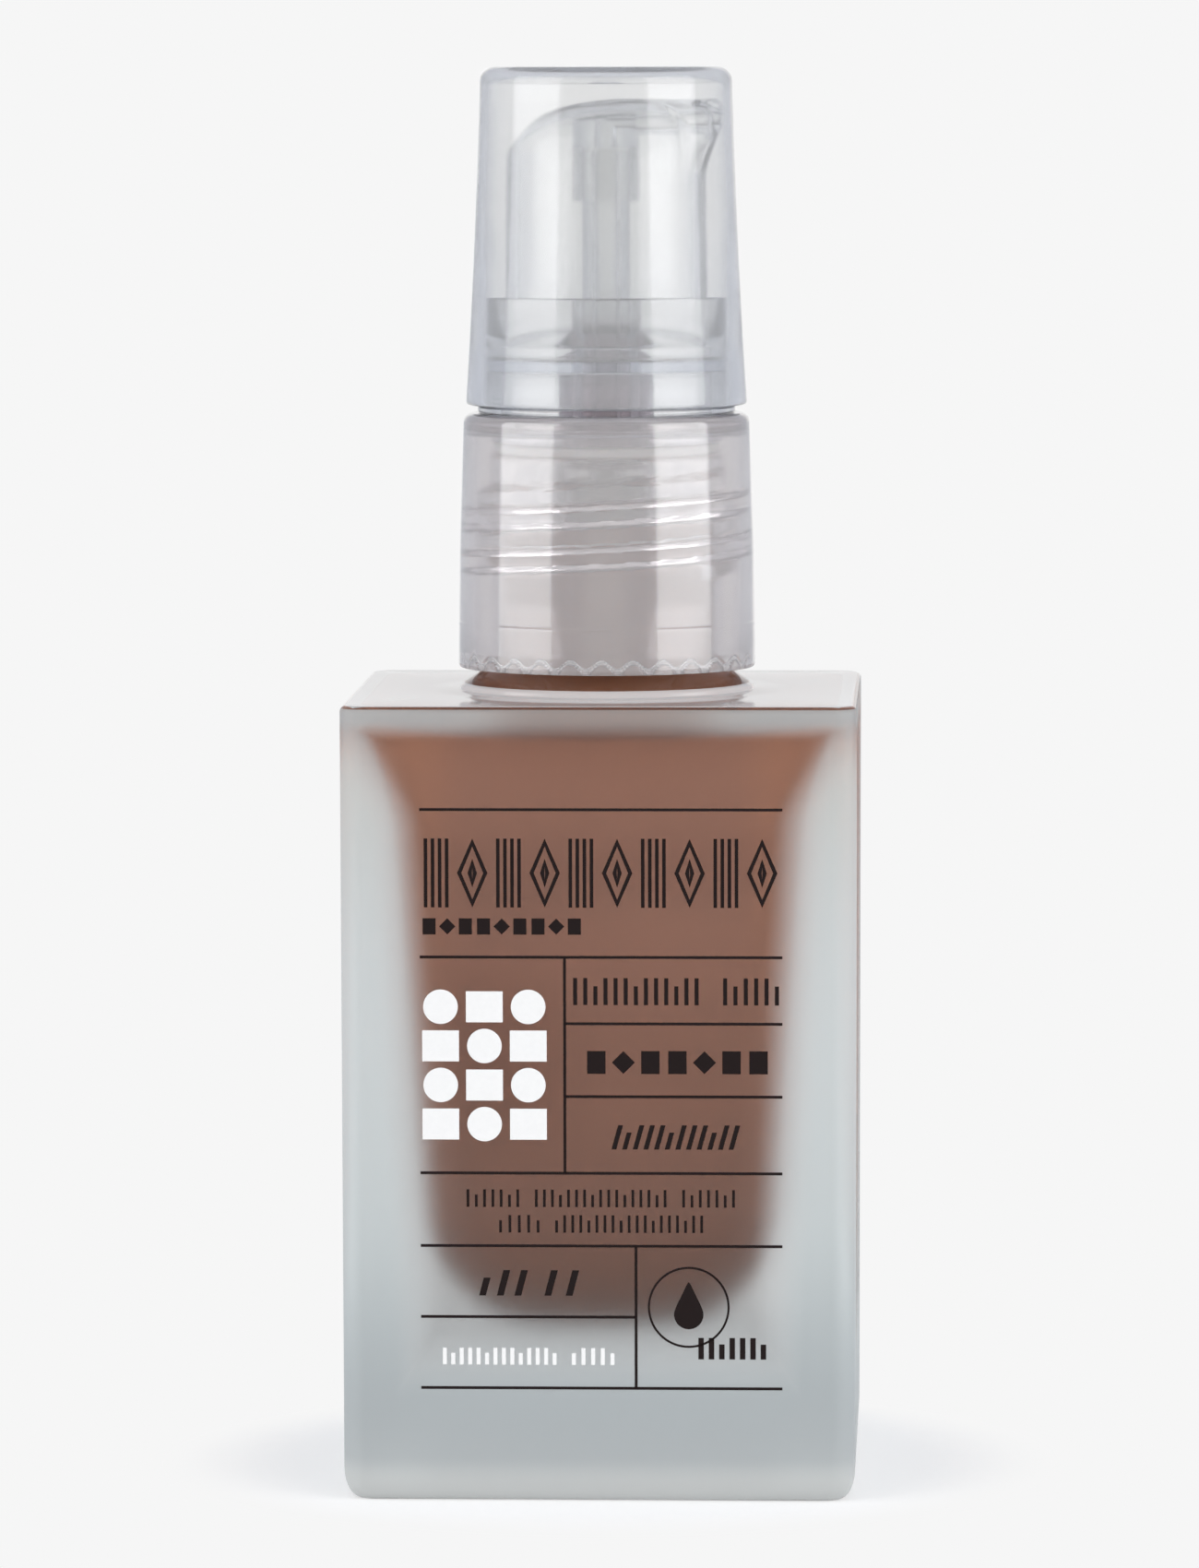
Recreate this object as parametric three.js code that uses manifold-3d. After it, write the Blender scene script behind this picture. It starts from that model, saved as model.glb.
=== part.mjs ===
// Liquid foundation bottle: a thick-walled square glass bottle, its filling, a screw-on treatment pump and a clear
// pull-off overcap. Millimetres, +Z up, origin at the middle of the base. The front face looks along -Y, and the
// pump's nozzle points along +X. Every piece of the pump is centred on the Z axis.
import * as THREE from "three";
import { mergeVertices } from "three/addons/utils/BufferGeometryUtils.js";
import Module from "manifold-3d";

const wasm = await Module();
wasm.setup();

// Driving dimensions
const BODY_HALF = 19; // half the width and depth of the glass body
const BODY_DRAFT = 0.05; // the body is this much wider at its shoulder, and narrower at its heel, on each side
const SHOULDER_Z = 59; // top face of the glass body
const CAVITY_FLOOR_Z = 11.8; // the solid glass base ends here
const CAVITY_TOP_Z = 57;
const NECK_FINISH_Z = 76.6; // sealing rim of the neck
const NECK_RADIUS = 8.85; // under the thread
const NECK_BORE = 5.3;
const THREAD_REACH = 1; // thread height, on the neck and in the closure
const THREAD_PITCH = 3.175; // 8 turns to the inch
const THREAD_DROP = 1.7; // from the sealing rim down to the start of the neck's thread
const FIT = 0.1; // gap between pieces that touch
const RUNNING_FIT = 0.08; // radial gap between pieces that slide or turn on each other
const LIQUID_GAP = 0.3; // between the filling and the glass
const LIQUID_LEVEL_Z = 71.5;
const CLOSURE_BOTTOM_Z = 60.7;
const CLOSURE_TOP_Z = 79.84; // the ledge under the overcap
const CLOSURE_BOTTOM_RADIUS = 11.22;
const CLOSURE_TOP_RADIUS = 10.76;
const COLLAR_TOP_Z = 88.66; // rim of the ring that the overcap snaps onto
const COLLAR_RADIUS = 9.07;
const CAP_BOTTOM_Z = 80.45;
const CAP_TOP_Z = 105.8;
const STEM_RADIUS = 1.78;
const CHAMBER_RADIUS = 3.95;
const CHAMBER_BORE = 3.25;

const LARGE = 36; // sides of the large turned pieces
const SMALL = 20; // sides of the small turned pieces

// ---------------------------------------------------------------------------------------------- shape tools

/** A closed geometry as a manifold-3d solid, for cutting and joining. */
function solid(geometry) {
  const bare = geometry.index ? geometry.toNonIndexed() : geometry.clone();
  bare.deleteAttribute("normal");
  bare.deleteAttribute("uv");
  const merged = mergeVertices(bare, 1e-4);
  return new wasm.Manifold(
    new wasm.Mesh({
      numProp: 3,
      vertProperties: merged.attributes.position.array,
      triVerts: new Uint32Array(merged.index.array),
    }),
  );
}

/** A manifold-3d solid as a three.js geometry. */
function geometryOf(made) {
  const mesh = made.getMesh();
  const geometry = new THREE.BufferGeometry();
  geometry.setAttribute("position", new THREE.BufferAttribute(mesh.vertProperties, 3));
  geometry.setIndex(new THREE.BufferAttribute(mesh.triVerts, 1));
  geometry.computeVertexNormals();
  return geometry;
}

/** Moves every vertex of a geometry to where place(x, y, z) says. */
function moved(geometry, place) {
  const position = geometry.getAttribute("position");
  for (let i = 0; i < position.count; i++) {
    position.setXYZ(i, ...place(position.getX(i), position.getY(i), position.getZ(i)));
  }
  return geometry;
}

/** Revolves a closed [radius, z] outline about Z. Points on the axis close it there. */
function turned(outline, sides = LARGE) {
  const points = outline.map(([radius, z]) => new THREE.Vector2(radius, z));
  const area = THREE.ShapeUtils.area(points);
  if (area < 0) points.reverse();
  const closesOnAxis = points.some((p) => p.x === 0);
  if (closesOnAxis) {
    while (points[0].x !== 0 || points[points.length - 1].x !== 0) points.push(points.shift());
  } else {
    points.push(points[0].clone());
  }
  return new THREE.LatheGeometry(points, sides).rotateX(Math.PI / 2);
}

/** Points of a quarter round, from the angle "from" to "to" in degrees, about [radius, z]. */
function arc([radius, z], size, from, to, steps = 3, squash = 1) {
  return Array.from({ length: steps + 1 }, (_, i) => {
    const angle = THREE.MathUtils.degToRad(from + ((to - from) * i) / steps);
    return [radius + size * Math.cos(angle), z + size * squash * Math.sin(angle)];
  });
}

/** A stack of rounded squares, each {z, half, corner}, joined into one closed solid. */
function squareLoft(layers, cornerSteps = 4) {
  const unitCorner = 0.5;
  const inner = 1 - unitCorner;
  const outline = new THREE.Shape();
  outline.absarc(inner, inner, unitCorner, 0, Math.PI / 2);
  outline.absarc(-inner, inner, unitCorner, Math.PI / 2, Math.PI);
  outline.absarc(-inner, -inner, unitCorner, Math.PI, 1.5 * Math.PI);
  outline.absarc(inner, -inner, unitCorner, 1.5 * Math.PI, 2 * Math.PI);
  const stack = new THREE.ExtrudeGeometry(outline, {
    depth: layers.length - 1,
    steps: layers.length - 1,
    bevelEnabled: false,
    curveSegments: cornerSteps,
  });
  return moved(stack, (x, y, z) => {
    const { z: height, half, corner } = layers[Math.round(z)];
    const across = (v) => {
      const side = Math.sign(v);
      return side * (half - corner) + ((v - side * inner) / unitCorner) * corner;
    };
    return [across(x), across(y), height];
  });
}

/** Winds a section around Z, downwards from "top", as a right-hand helix. rise(t) is the drop at the share t of it,
 *  and fade is the share of a turn over which a thread grows to its full height at each end. */
function wound(section, { radius, top, turns, steps, rise, fade = 0, sides = 8 }) {
  const straight = new THREE.ExtrudeGeometry(section, {
    depth: 1,
    steps,
    bevelEnabled: false,
    curveSegments: sides,
  });
  return moved(straight, (x, y, t) => {
    const end = fade ? Math.min(1, 0.1 + (Math.min(t, 1 - t) * turns) / fade) : 1;
    const angle = -t * turns * 2 * Math.PI;
    const reach = radius + x * end;
    return [reach * Math.cos(angle), reach * Math.sin(angle), top + y - rise(t)];
  });
}

/** The section of a thread: a trapezoid standing on the wall, sunk into it a little. */
function threadSection(reach, root, crest) {
  const sunk = -0.4 * Math.sign(reach);
  return new THREE.Shape([
    new THREE.Vector2(sunk, -root / 2),
    new THREE.Vector2(reach, -crest / 2),
    new THREE.Vector2(reach, crest / 2),
    new THREE.Vector2(sunk, root / 2),
  ]);
}

/** A thread of the bottle's pitch on a wall of the given radius. A negative reach points inwards. */
function thread({ radius, reach, root, crest, top, turns }) {
  const ridge = wound(threadSection(reach, root, crest), {
    radius,
    top,
    turns,
    fade: 0.25,
    steps: Math.round(turns * 30),
    rise: (t) => THREAD_PITCH * turns * t,
  });
  return solid(ridge);
}

/** A plain cylinder along Z. */
function rod(radius, from, to, sides = SMALL) {
  return solid(
    new THREE.CylinderGeometry(radius, radius, to - from, sides)
      .rotateX(Math.PI / 2)
      .translate(0, 0, (from + to) / 2),
  );
}

// ---------------------------------------------------------------------------------------------- materials

const plastic = (color, opacity, roughness = 0.35) =>
  new THREE.MeshStandardMaterial({ color, roughness, metalness: 0, opacity, transparent: opacity < 1 });

const materials = {
  frostedGlass: plastic(0xc4cecf, 0.5, 0.5),
  foundation: plastic(0x8a6450, 1, 0.6),
  naturalPlastic: plastic(0xd9dadc, 0.5),
  clearPlastic: plastic(0xe6e8ec, 0.35, 0.15),
  sealPlastic: plastic(0xf2f2ee, 1, 0.5),
  steel: new THREE.MeshStandardMaterial({ color: 0xb8babd, roughness: 0.25, metalness: 1 }),
};

const group = new THREE.Group();

/** Adds one named piece to the model. */
function add(name, geometry, material) {
  const mesh = new THREE.Mesh(geometry, material);
  mesh.name = name;
  group.add(mesh);
}

// ---------------------------------------------------------------------------------------------- glass bottle

const VERTICAL_EDGE = 1.8; // radius of the four upright edges
const HEEL = { height: 2.3, inset: 1.2 };
const SHOULDER_EDGE = 0.5;
const BASE_RECESS = { half: 13.5, depth: 0.5, slope: 1.5, corner: 4 };
const NECK_FOOT = { radius: 11.1, step: 0.25, slopeTop: 9.1, height: 1.65 }; // the neck's root on the shoulder
const NECK_RIM = 0.4; // chamfer of the sealing rim
const NECK_FLARE = { radius: 8.6, top: 62.5 }; // the bore widens from here down into the cavity
const CAVITY = { half: 13.3, lean: 0.065, corner: 6.5, topCorner: 2.8, flare: 2, flareRise: 3 };
const BOWL = { top: 22, inset: 9, cornerLoss: 0.35 }; // the cavity's rounded bottom

/** Half the body's width at a height, with its draft. */
function bodyHalf(z) {
  return BODY_HALF - BODY_DRAFT + (2 * BODY_DRAFT * z) / SHOULDER_Z;
}

function bodyOutside() {
  const heel = [0, 25, 50, 70, 90].map((degrees) => {
    const angle = THREE.MathUtils.degToRad(degrees);
    const z = HEEL.height * (1 - Math.cos(angle));
    const inset = HEEL.inset * (1 - Math.sin(angle));
    return { z, half: bodyHalf(z) - inset, corner: VERTICAL_EDGE - 0.5 * inset };
  });
  const shoulder = [0, 30, 60, 90].map((degrees) => {
    const angle = THREE.MathUtils.degToRad(degrees);
    const z = SHOULDER_Z - SHOULDER_EDGE * (1 - Math.sin(angle));
    const inset = SHOULDER_EDGE * (1 - Math.cos(angle));
    return { z, half: bodyHalf(z) - inset, corner: VERTICAL_EDGE - 0.8 * inset };
  });
  return solid(squareLoft([...heel, ...shoulder]));
}

/** Half the cavity's width: a nearly straight wall that leans out, and flares into the shoulder's corners. */
function cavityHalf(z) {
  const wall = CAVITY.half + CAVITY.lean * (z - BOWL.top);
  return wall + CAVITY.flare * Math.exp((z - CAVITY_TOP_Z) / CAVITY.flareRise);
}

/** The cavity from its rounded floor up, each wall moved inwards by gap. */
function cavity(gap) {
  const floor = [2, 25, 45, 62, 77, 90].map((degrees) => {
    const angle = THREE.MathUtils.degToRad(degrees);
    const z = BOWL.top - (BOWL.top - CAVITY_FLOOR_Z) * Math.cos(angle);
    const inset = BOWL.inset * (1 - Math.sin(angle));
    return { z, half: cavityHalf(BOWL.top) - inset, corner: CAVITY.corner - BOWL.cornerLoss * inset };
  });
  const wall = [32, 42, 50, 53.5, 55.5, CAVITY_TOP_Z].map((z) => ({
    z,
    half: cavityHalf(z),
    corner: THREE.MathUtils.mapLinear(z, BOWL.top, CAVITY_TOP_Z, CAVITY.corner, CAVITY.topCorner),
  }));
  const layers = [...floor, ...wall].map(({ z, half, corner }) => ({ z, half: half - gap, corner }));
  layers[0].z += gap;
  layers[layers.length - 1].z -= gap;
  return solid(squareLoft(layers, 5));
}

/** The bore where it flares into the cavity, moved inwards by gap. */
function neckFlare(gap) {
  return solid(
    turned([
      [0, CAVITY_TOP_Z - 1],
      [NECK_FLARE.radius - gap, CAVITY_TOP_Z - 1],
      [NECK_FLARE.radius - gap, CAVITY_TOP_Z - gap],
      [NECK_BORE - gap, NECK_FLARE.top - gap],
      [0, NECK_FLARE.top - gap],
    ]),
  );
}

function glassBottle() {
  const neck = solid(
    turned([
      [0, SHOULDER_Z - 1],
      [NECK_FOOT.radius, SHOULDER_Z - 1],
      [NECK_FOOT.radius, SHOULDER_Z + NECK_FOOT.step],
      [NECK_FOOT.slopeTop, SHOULDER_Z + NECK_FOOT.height],
      [NECK_RADIUS, SHOULDER_Z + NECK_FOOT.height + NECK_FOOT.step],
      [NECK_RADIUS, NECK_FINISH_Z - NECK_RIM],
      [NECK_RADIUS - NECK_RIM, NECK_FINISH_Z],
      [0, NECK_FINISH_Z],
    ]),
  );
  const neckThread = thread({
    radius: NECK_RADIUS,
    reach: THREAD_REACH,
    root: 2.1,
    crest: 0.8,
    top: NECK_FINISH_Z - THREAD_DROP,
    turns: 2.2,
  });
  const recess = solid(
    squareLoft([
      { z: -1, half: BASE_RECESS.half, corner: BASE_RECESS.corner },
      { z: 0, half: BASE_RECESS.half, corner: BASE_RECESS.corner },
      { z: BASE_RECESS.depth, half: BASE_RECESS.half - BASE_RECESS.slope, corner: BASE_RECESS.corner },
    ]),
  );
  return bodyOutside()
    .add(neck)
    .add(neckThread)
    .subtract(cavity(0))
    .subtract(neckFlare(0))
    .subtract(rod(NECK_BORE, CAVITY_TOP_Z - 1, NECK_FINISH_Z + 1, LARGE))
    .subtract(recess);
}

// ---------------------------------------------------------------------------------------------- filling

/** The foundation, up to its level in the neck, around the chamber and the dip tube. */
function foundation() {
  const neckColumn = rod(NECK_BORE - LIQUID_GAP, CAVITY_TOP_Z - 2, LIQUID_LEVEL_Z, LARGE);
  return cavity(LIQUID_GAP)
    .add(neckFlare(LIQUID_GAP))
    .add(neckColumn)
    .subtract(rod(CHAMBER_RADIUS + LIQUID_GAP, CAGE.top - CAGE.step, LIQUID_LEVEL_Z + 1))
    .subtract(rod(CAGE.radius + LIQUID_GAP, SOCKET.top - CAGE.step, CAGE.top))
    .subtract(rod(SOCKET.radius + LIQUID_GAP, SOCKET.bottom - CAGE.step, SOCKET.top))
    .subtract(rod(TUBE.radius + LIQUID_GAP, TUBE.bottom - 0.2, SOCKET.bottom));
}

// ---------------------------------------------------------------------------------------------- closure

const CLOSURE_BORE = NECK_RADIUS + THREAD_REACH + 0.3;
const CLOSURE_EDGE = { top: 0.7, mouth: 0.25 };
const CLOSURE_MOUTH = CLOSURE_BORE + CLOSURE_EDGE.mouth;
const DECK_UNDERSIDE_Z = 78.55;
const DECK_HOLE = 7;
const FLUTES = { count: 28, depth: 0.3, height: 1.3 };

/** The ring of flutes round the inside of the closure's mouth, as a cutter. */
function fluteCutter() {
  const points = Array.from({ length: FLUTES.count * 2 }, (_, i) => {
    const angle = (i * Math.PI) / FLUTES.count;
    const radius = CLOSURE_MOUTH + (i % 2 ? FLUTES.depth : 0);
    return new THREE.Vector2(radius * Math.cos(angle), radius * Math.sin(angle));
  });
  const cutter = new THREE.ExtrudeGeometry(new THREE.Shape(points), {
    depth: FLUTES.height + 1,
    bevelEnabled: false,
  });
  return solid(cutter.translate(0, 0, CLOSURE_BOTTOM_Z - 1));
}

function closure() {
  const skirt = solid(
    turned([
      [CLOSURE_BORE, CLOSURE_BOTTOM_Z],
      [CLOSURE_BOTTOM_RADIUS - CLOSURE_EDGE.mouth, CLOSURE_BOTTOM_Z],
      [CLOSURE_BOTTOM_RADIUS, CLOSURE_BOTTOM_Z + CLOSURE_EDGE.mouth],
      ...arc([CLOSURE_TOP_RADIUS - CLOSURE_EDGE.top, CLOSURE_TOP_Z - CLOSURE_EDGE.top], CLOSURE_EDGE.top, 0, 90),
      [DECK_HOLE, CLOSURE_TOP_Z],
      [DECK_HOLE, DECK_UNDERSIDE_Z],
      [CLOSURE_BORE, DECK_UNDERSIDE_Z],
    ]),
  );
  const innerThread = thread({
    radius: CLOSURE_BORE,
    reach: -THREAD_REACH,
    root: 1.9,
    crest: 0.7,
    top: NECK_FINISH_Z - THREAD_DROP - THREAD_PITCH / 2,
    turns: 1.5,
  });
  return skirt.subtract(fluteCutter()).add(innerThread);
}

// ---------------------------------------------------------------------------------------------- pump, fixed parts

const GASKET = { bore: 4.4, radius: 8.5, bottom: NECK_FINISH_Z + FIT / 2, top: NECK_FINISH_Z + 0.8 };
const CHAPLET_BOTTOM_Z = 75.4;
const FLANGE = { radius: 8.7, bottom: GASKET.top + FIT / 2, top: DECK_UNDERSIDE_Z - FIT };
const CAGE = { radius: 3, bore: 1.75, top: 56, step: 0.6, bottom: 52.4, lip: 1.25, lipTop: 55.8 };
const BALL = { radius: 1.4, lift: 1.2 };
const SEAT = { hole: 0.9, z: 51.2 };
const SOCKET = { radius: 2.5, bore: 1.75, top: 51.7, bottom: 46, stop: 50.4 };
const TUBE = { radius: 1.7, bore: 1.15, bottom: CAVITY_FLOOR_Z + 0.9, top: 50.2, slant: 30 };

function gasket() {
  return turned([
    [GASKET.bore, GASKET.bottom],
    [GASKET.radius, GASKET.bottom],
    [GASKET.radius, GASKET.top],
    [GASKET.bore, GASKET.top],
  ]);
}

/** The housing: a flange on the gasket, the barrel, the ball's cage and seat, and the dip tube's socket. */
function chamber() {
  return turned(
    [
      [CHAMBER_BORE, FLANGE.top],
      [FLANGE.radius, FLANGE.top],
      [FLANGE.radius, FLANGE.bottom],
      [CHAMBER_RADIUS, FLANGE.bottom],
      [CHAMBER_RADIUS, CAGE.top],
      [CAGE.radius, CAGE.top - CAGE.step],
      [CAGE.radius, SOCKET.top],
      [SOCKET.radius, SOCKET.top - 0.5],
      [SOCKET.radius, SOCKET.bottom],
      [SOCKET.bore, SOCKET.bottom],
      [SOCKET.bore, SOCKET.stop],
      [SEAT.hole, SOCKET.stop],
      [SEAT.hole, SEAT.z],
      [CAGE.bore, CAGE.bottom],
      [CAGE.bore, CAGE.lipTop - CAGE.step],
      [CAGE.lip, CAGE.top - CAGE.step],
      [CAGE.lip, CAGE.lipTop],
      [CHAMBER_BORE, CAGE.lipTop],
    ],
    24,
  );
}

/** The dip tube, with its lower end cut on the slant. */
function dipTube() {
  const tube = solid(
    turned(
      [
        [TUBE.bore, TUBE.bottom],
        [TUBE.radius, TUBE.bottom],
        [TUBE.radius, TUBE.top],
        [TUBE.bore, TUBE.top],
      ],
      SMALL,
    ),
  );
  const slant = new THREE.BoxGeometry(8, 8, 4)
    .translate(0, 0, -2)
    .rotateY(THREE.MathUtils.degToRad(TUBE.slant))
    .translate(0, 0, TUBE.bottom + TUBE.radius * Math.tan(THREE.MathUtils.degToRad(TUBE.slant)));
  return tube.subtract(solid(slant));
}

/** The ball of the inlet valve, resting in the cone of its seat. */
function inletBall() {
  const slope = Math.atan((CAGE.bore - SEAT.hole) / (CAGE.bottom - SEAT.z));
  const apex = SEAT.z - SEAT.hole / Math.tan(slope);
  return new THREE.SphereGeometry(BALL.radius, 16, 10)
    .rotateX(Math.PI / 2)
    .translate(0, 0, apex + (BALL.radius + FIT / 2) / Math.sin(slope));
}

/** The chaplet: a guide for the stem, snapped into the chamber through the closure, with the overcap's snap ring. */
function chaplet() {
  const flange = { bottom: CLOSURE_TOP_Z + FIT / 2, radius: 9.7 };
  const deck = { bottom: 83.1, top: 83.9, bore: 7.95 };
  const hub = { bore: STEM_RADIUS + RUNNING_FIT, lower: 3.6, upper: 2.6, top: 88.3 };
  const plug = CHAMBER_BORE - RUNNING_FIT / 2;
  return turned([
    [hub.bore, CHAPLET_BOTTOM_Z],
    [plug, CHAPLET_BOTTOM_Z],
    [plug, FLANGE.top],
    [hub.lower, FLANGE.top + 0.1],
    [hub.lower, deck.bottom],
    [deck.bore, deck.bottom],
    [deck.bore, flange.bottom],
    [flange.radius, flange.bottom],
    [flange.radius, CAP_BOTTOM_Z - FIT],
    [COLLAR_RADIUS, CAP_BOTTOM_Z - FIT],
    [COLLAR_RADIUS, COLLAR_TOP_Z - 0.25],
    [COLLAR_RADIUS - 0.25, COLLAR_TOP_Z],
    [deck.bore, COLLAR_TOP_Z],
    [deck.bore, deck.top],
    [hub.lower, deck.top],
    [hub.upper, deck.top + 1.1],
    [hub.upper, hub.top],
    [hub.bore, hub.top],
  ]);
}

// ---------------------------------------------------------------------------------------------- pump, moving parts

const SEAL = { bottom: 71.6, top: CHAPLET_BOTTOM_Z - 0.9, slip: 0.8 };
const PLUG = { radius: 2.7, bottom: SEAL.bottom - 1.15, top: SEAL.bottom - FIT / 2, edge: 0.45 };
const SHANK = { radius: 0.75, length: 3.8, edge: 0.3 }; // the plug's stalk, pressed into the stem
const STEM = { top: 99.6, bottom: PLUG.top + 0.15, bore: 0.8 };
const SPRING = { radius: 2.5, wire: 0.28, bottom: CAGE.top - 0.15, top: PLUG.bottom - 0.05, turns: 7 };

/** The hollow stem, with a shoulder that the seal slides under. */
function stem() {
  return turned(
    [
      [STEM.bore, STEM.bottom],
      [STEM_RADIUS - 0.35, STEM.bottom],
      [STEM_RADIUS - 0.35, SEAL.top + SEAL.slip],
      [STEM_RADIUS, SEAL.top + SEAL.slip],
      [STEM_RADIUS, STEM.top],
      [STEM.bore, STEM.top],
    ],
    SMALL,
  );
}

/** The valve plug: its head closes the seal from below, and its shank is pressed up into the stem. */
function stemPlug() {
  return turned(
    [
      [0, PLUG.bottom],
      [PLUG.radius, PLUG.bottom],
      [PLUG.radius, PLUG.top - PLUG.edge],
      [PLUG.radius - PLUG.edge, PLUG.top],
      [SHANK.radius, PLUG.top],
      [SHANK.radius, PLUG.top + SHANK.length - SHANK.edge],
      [SHANK.radius - SHANK.edge, PLUG.top + SHANK.length],
      [0, PLUG.top + SHANK.length],
    ],
    SMALL,
  );
}

/** The sliding piston seal, with a lip at each end that wipes the chamber. */
function pistonSeal() {
  const lip = CHAMBER_BORE - 0.05;
  const waist = lip - 0.45;
  const bore = STEM_RADIUS - 0.35 + RUNNING_FIT;
  return turned(
    [
      [bore, SEAL.bottom],
      [bore + 0.45, SEAL.bottom],
      [lip - 0.35, SEAL.bottom],
      [lip, SEAL.bottom + 0.1],
      [waist, SEAL.bottom + 0.7],
      [waist, SEAL.top - 0.8],
      [lip, SEAL.top],
      [lip - 0.35, SEAL.top],
      [bore + 0.6, SEAL.top - 0.6],
      [bore, SEAL.top - 0.2],
    ],
    24,
  );
}

/** A compression spring with a closed coil at each end. */
function spring() {
  const { radius, wire, bottom, top, turns } = SPRING;
  const height = top - bottom - 2 * wire;
  const closedPitch = 2.15 * wire;
  const openPitch = (height - 2 * closedPitch) / (turns - 2);
  const rise = (t) => {
    const turn = t * turns;
    const open = Math.min(Math.max(turn - 1, 0), turns - 2);
    return open * openPitch + (turn - open) * closedPitch;
  };
  const section = new THREE.Shape().absarc(0, 0, wire, 0, 2 * Math.PI);
  return wound(section, { radius, top: top - wire, turns, steps: turns * 16, rise, sides: 3 });
}

// The head: a skirted shell with a beak along +X, a boss for the stem and a channel to the nozzle.
const HEAD = { bottom: 88.35, radius: 7.6, topRadius: 7.5, edge: 3.6, top: 103.5, wall: 0.9 };
const FALL = { from: 2, bend: 0.025, low: 97 }; // the head's top falls away behind x = from, as a parabola
const BEAK = { reach: 1.05, from: 97.6, full: 101.5, rootHalf: 3.6, tipHalf: 2.1 };
const BOSS = { radius: 2.5, bottom: 95.7 };
const CHANNEL = { radius: 0.6, z: 101.95 };
const RIB = { thickness: 1, bottom: 98.9, end: 6.4 }; // holds the channel up from the boss

/** A dome of the head's shape, a wall thickness smaller where it is the hollow. */
function headDome(inset, bottom) {
  const top = HEAD.top - inset;
  const edge = HEAD.edge - inset;
  const upper = HEAD.topRadius - inset;
  const dome = turned([
    [0, bottom],
    [HEAD.radius - inset, bottom],
    [upper, top - edge],
    ...arc([upper - edge, top - edge], edge, 22.5, 90),
    [0, top],
  ]);
  const share = (z) => THREE.MathUtils.smoothstep(z, FALL.low, HEAD.top);
  return solid(moved(dome, (x, y, z) => [x, y, z - FALL.bend * Math.min(x - FALL.from, 0) ** 2 * share(z)]));
}

/** The beak: a wedge that grows out of the dome towards +X and carries the nozzle. */
function beak(inset) {
  const tip = HEAD.topRadius + BEAK.reach - inset;
  const outline = new THREE.Shape();
  outline.moveTo(2, BEAK.from + inset);
  outline.lineTo(HEAD.topRadius - 0.4 - inset, BEAK.from + inset);
  outline.quadraticCurveTo(HEAD.topRadius + 0.1 - inset, BEAK.full - 1.6 + inset, tip, BEAK.full - 0.4 + inset);
  outline.lineTo(tip, HEAD.top - 0.4 - inset);
  outline.lineTo(tip - 0.5, HEAD.top - 0.05 - inset);
  outline.lineTo(2, HEAD.top - 0.02 - inset);
  const slab = new THREE.ExtrudeGeometry(outline, {
    depth: 2,
    bevelEnabled: false,
    curveSegments: 4,
  });
  slab.translate(0, 0, -1).rotateX(Math.PI / 2);
  const halfAt = (x) => THREE.MathUtils.mapLinear(x, 2, tip, BEAK.rootHalf, BEAK.tipHalf) - inset;
  return solid(moved(slab, (x, y, z) => [x, y * halfAt(x), z]));
}

function actuator() {
  const channelLength = HEAD.topRadius + BEAK.reach + 1;
  const along = (radius, length, sides) =>
    solid(
      new THREE.CylinderGeometry(radius, radius, length, sides)
        .rotateZ(Math.PI / 2)
        .translate(length / 2, 0, CHANNEL.z),
    );
  const shell = headDome(0, HEAD.bottom)
    .add(beak(0))
    .subtract(headDome(HEAD.wall, HEAD.bottom - 1))
    .subtract(beak(HEAD.wall));
  const rib = new THREE.Shape([
    new THREE.Vector2(BOSS.radius - 0.4, RIB.bottom),
    new THREE.Vector2(BOSS.radius, RIB.bottom),
    new THREE.Vector2(RIB.end, CHANNEL.z - CHANNEL.radius - 0.3),
    new THREE.Vector2(RIB.end, CHANNEL.z),
    new THREE.Vector2(BOSS.radius - 0.4, CHANNEL.z),
  ]);
  const ribSlab = new THREE.ExtrudeGeometry(rib, { depth: RIB.thickness, bevelEnabled: false });
  ribSlab.translate(0, 0, -RIB.thickness / 2).rotateX(Math.PI / 2);
  return shell
    .add(solid(ribSlab))
    .add(rod(BOSS.radius, BOSS.bottom, HEAD.top - 0.5))
    .add(along(CHANNEL.radius + 0.6, HEAD.topRadius + BEAK.reach - 0.3, 12))
    .subtract(rod(STEM_RADIUS + FIT / 2, BOSS.bottom - 1, STEM.top + 0.15))
    .subtract(rod(CHANNEL.radius, STEM.top, CHANNEL.z, 12))
    .subtract(along(CHANNEL.radius, channelLength, 12));
}

// ---------------------------------------------------------------------------------------------- overcap

const CAP = { radius: 9.47, taper: 0.028, bend: 0.00075, wall: 0.6, snap: COLLAR_RADIUS + 0.2, edge: 1 };
const GATE = { radius: 1.3, depth: 0.25 }; // the moulding mark under the middle of the cap's top

/** The overcap's outside: nearly upright at the top, and flaring a little towards its rim. */
function capRadius(z) {
  const down = CAP_TOP_Z - CAP.edge - z;
  return CAP.radius + CAP.taper * down + CAP.bend * down ** 2;
}

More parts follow.
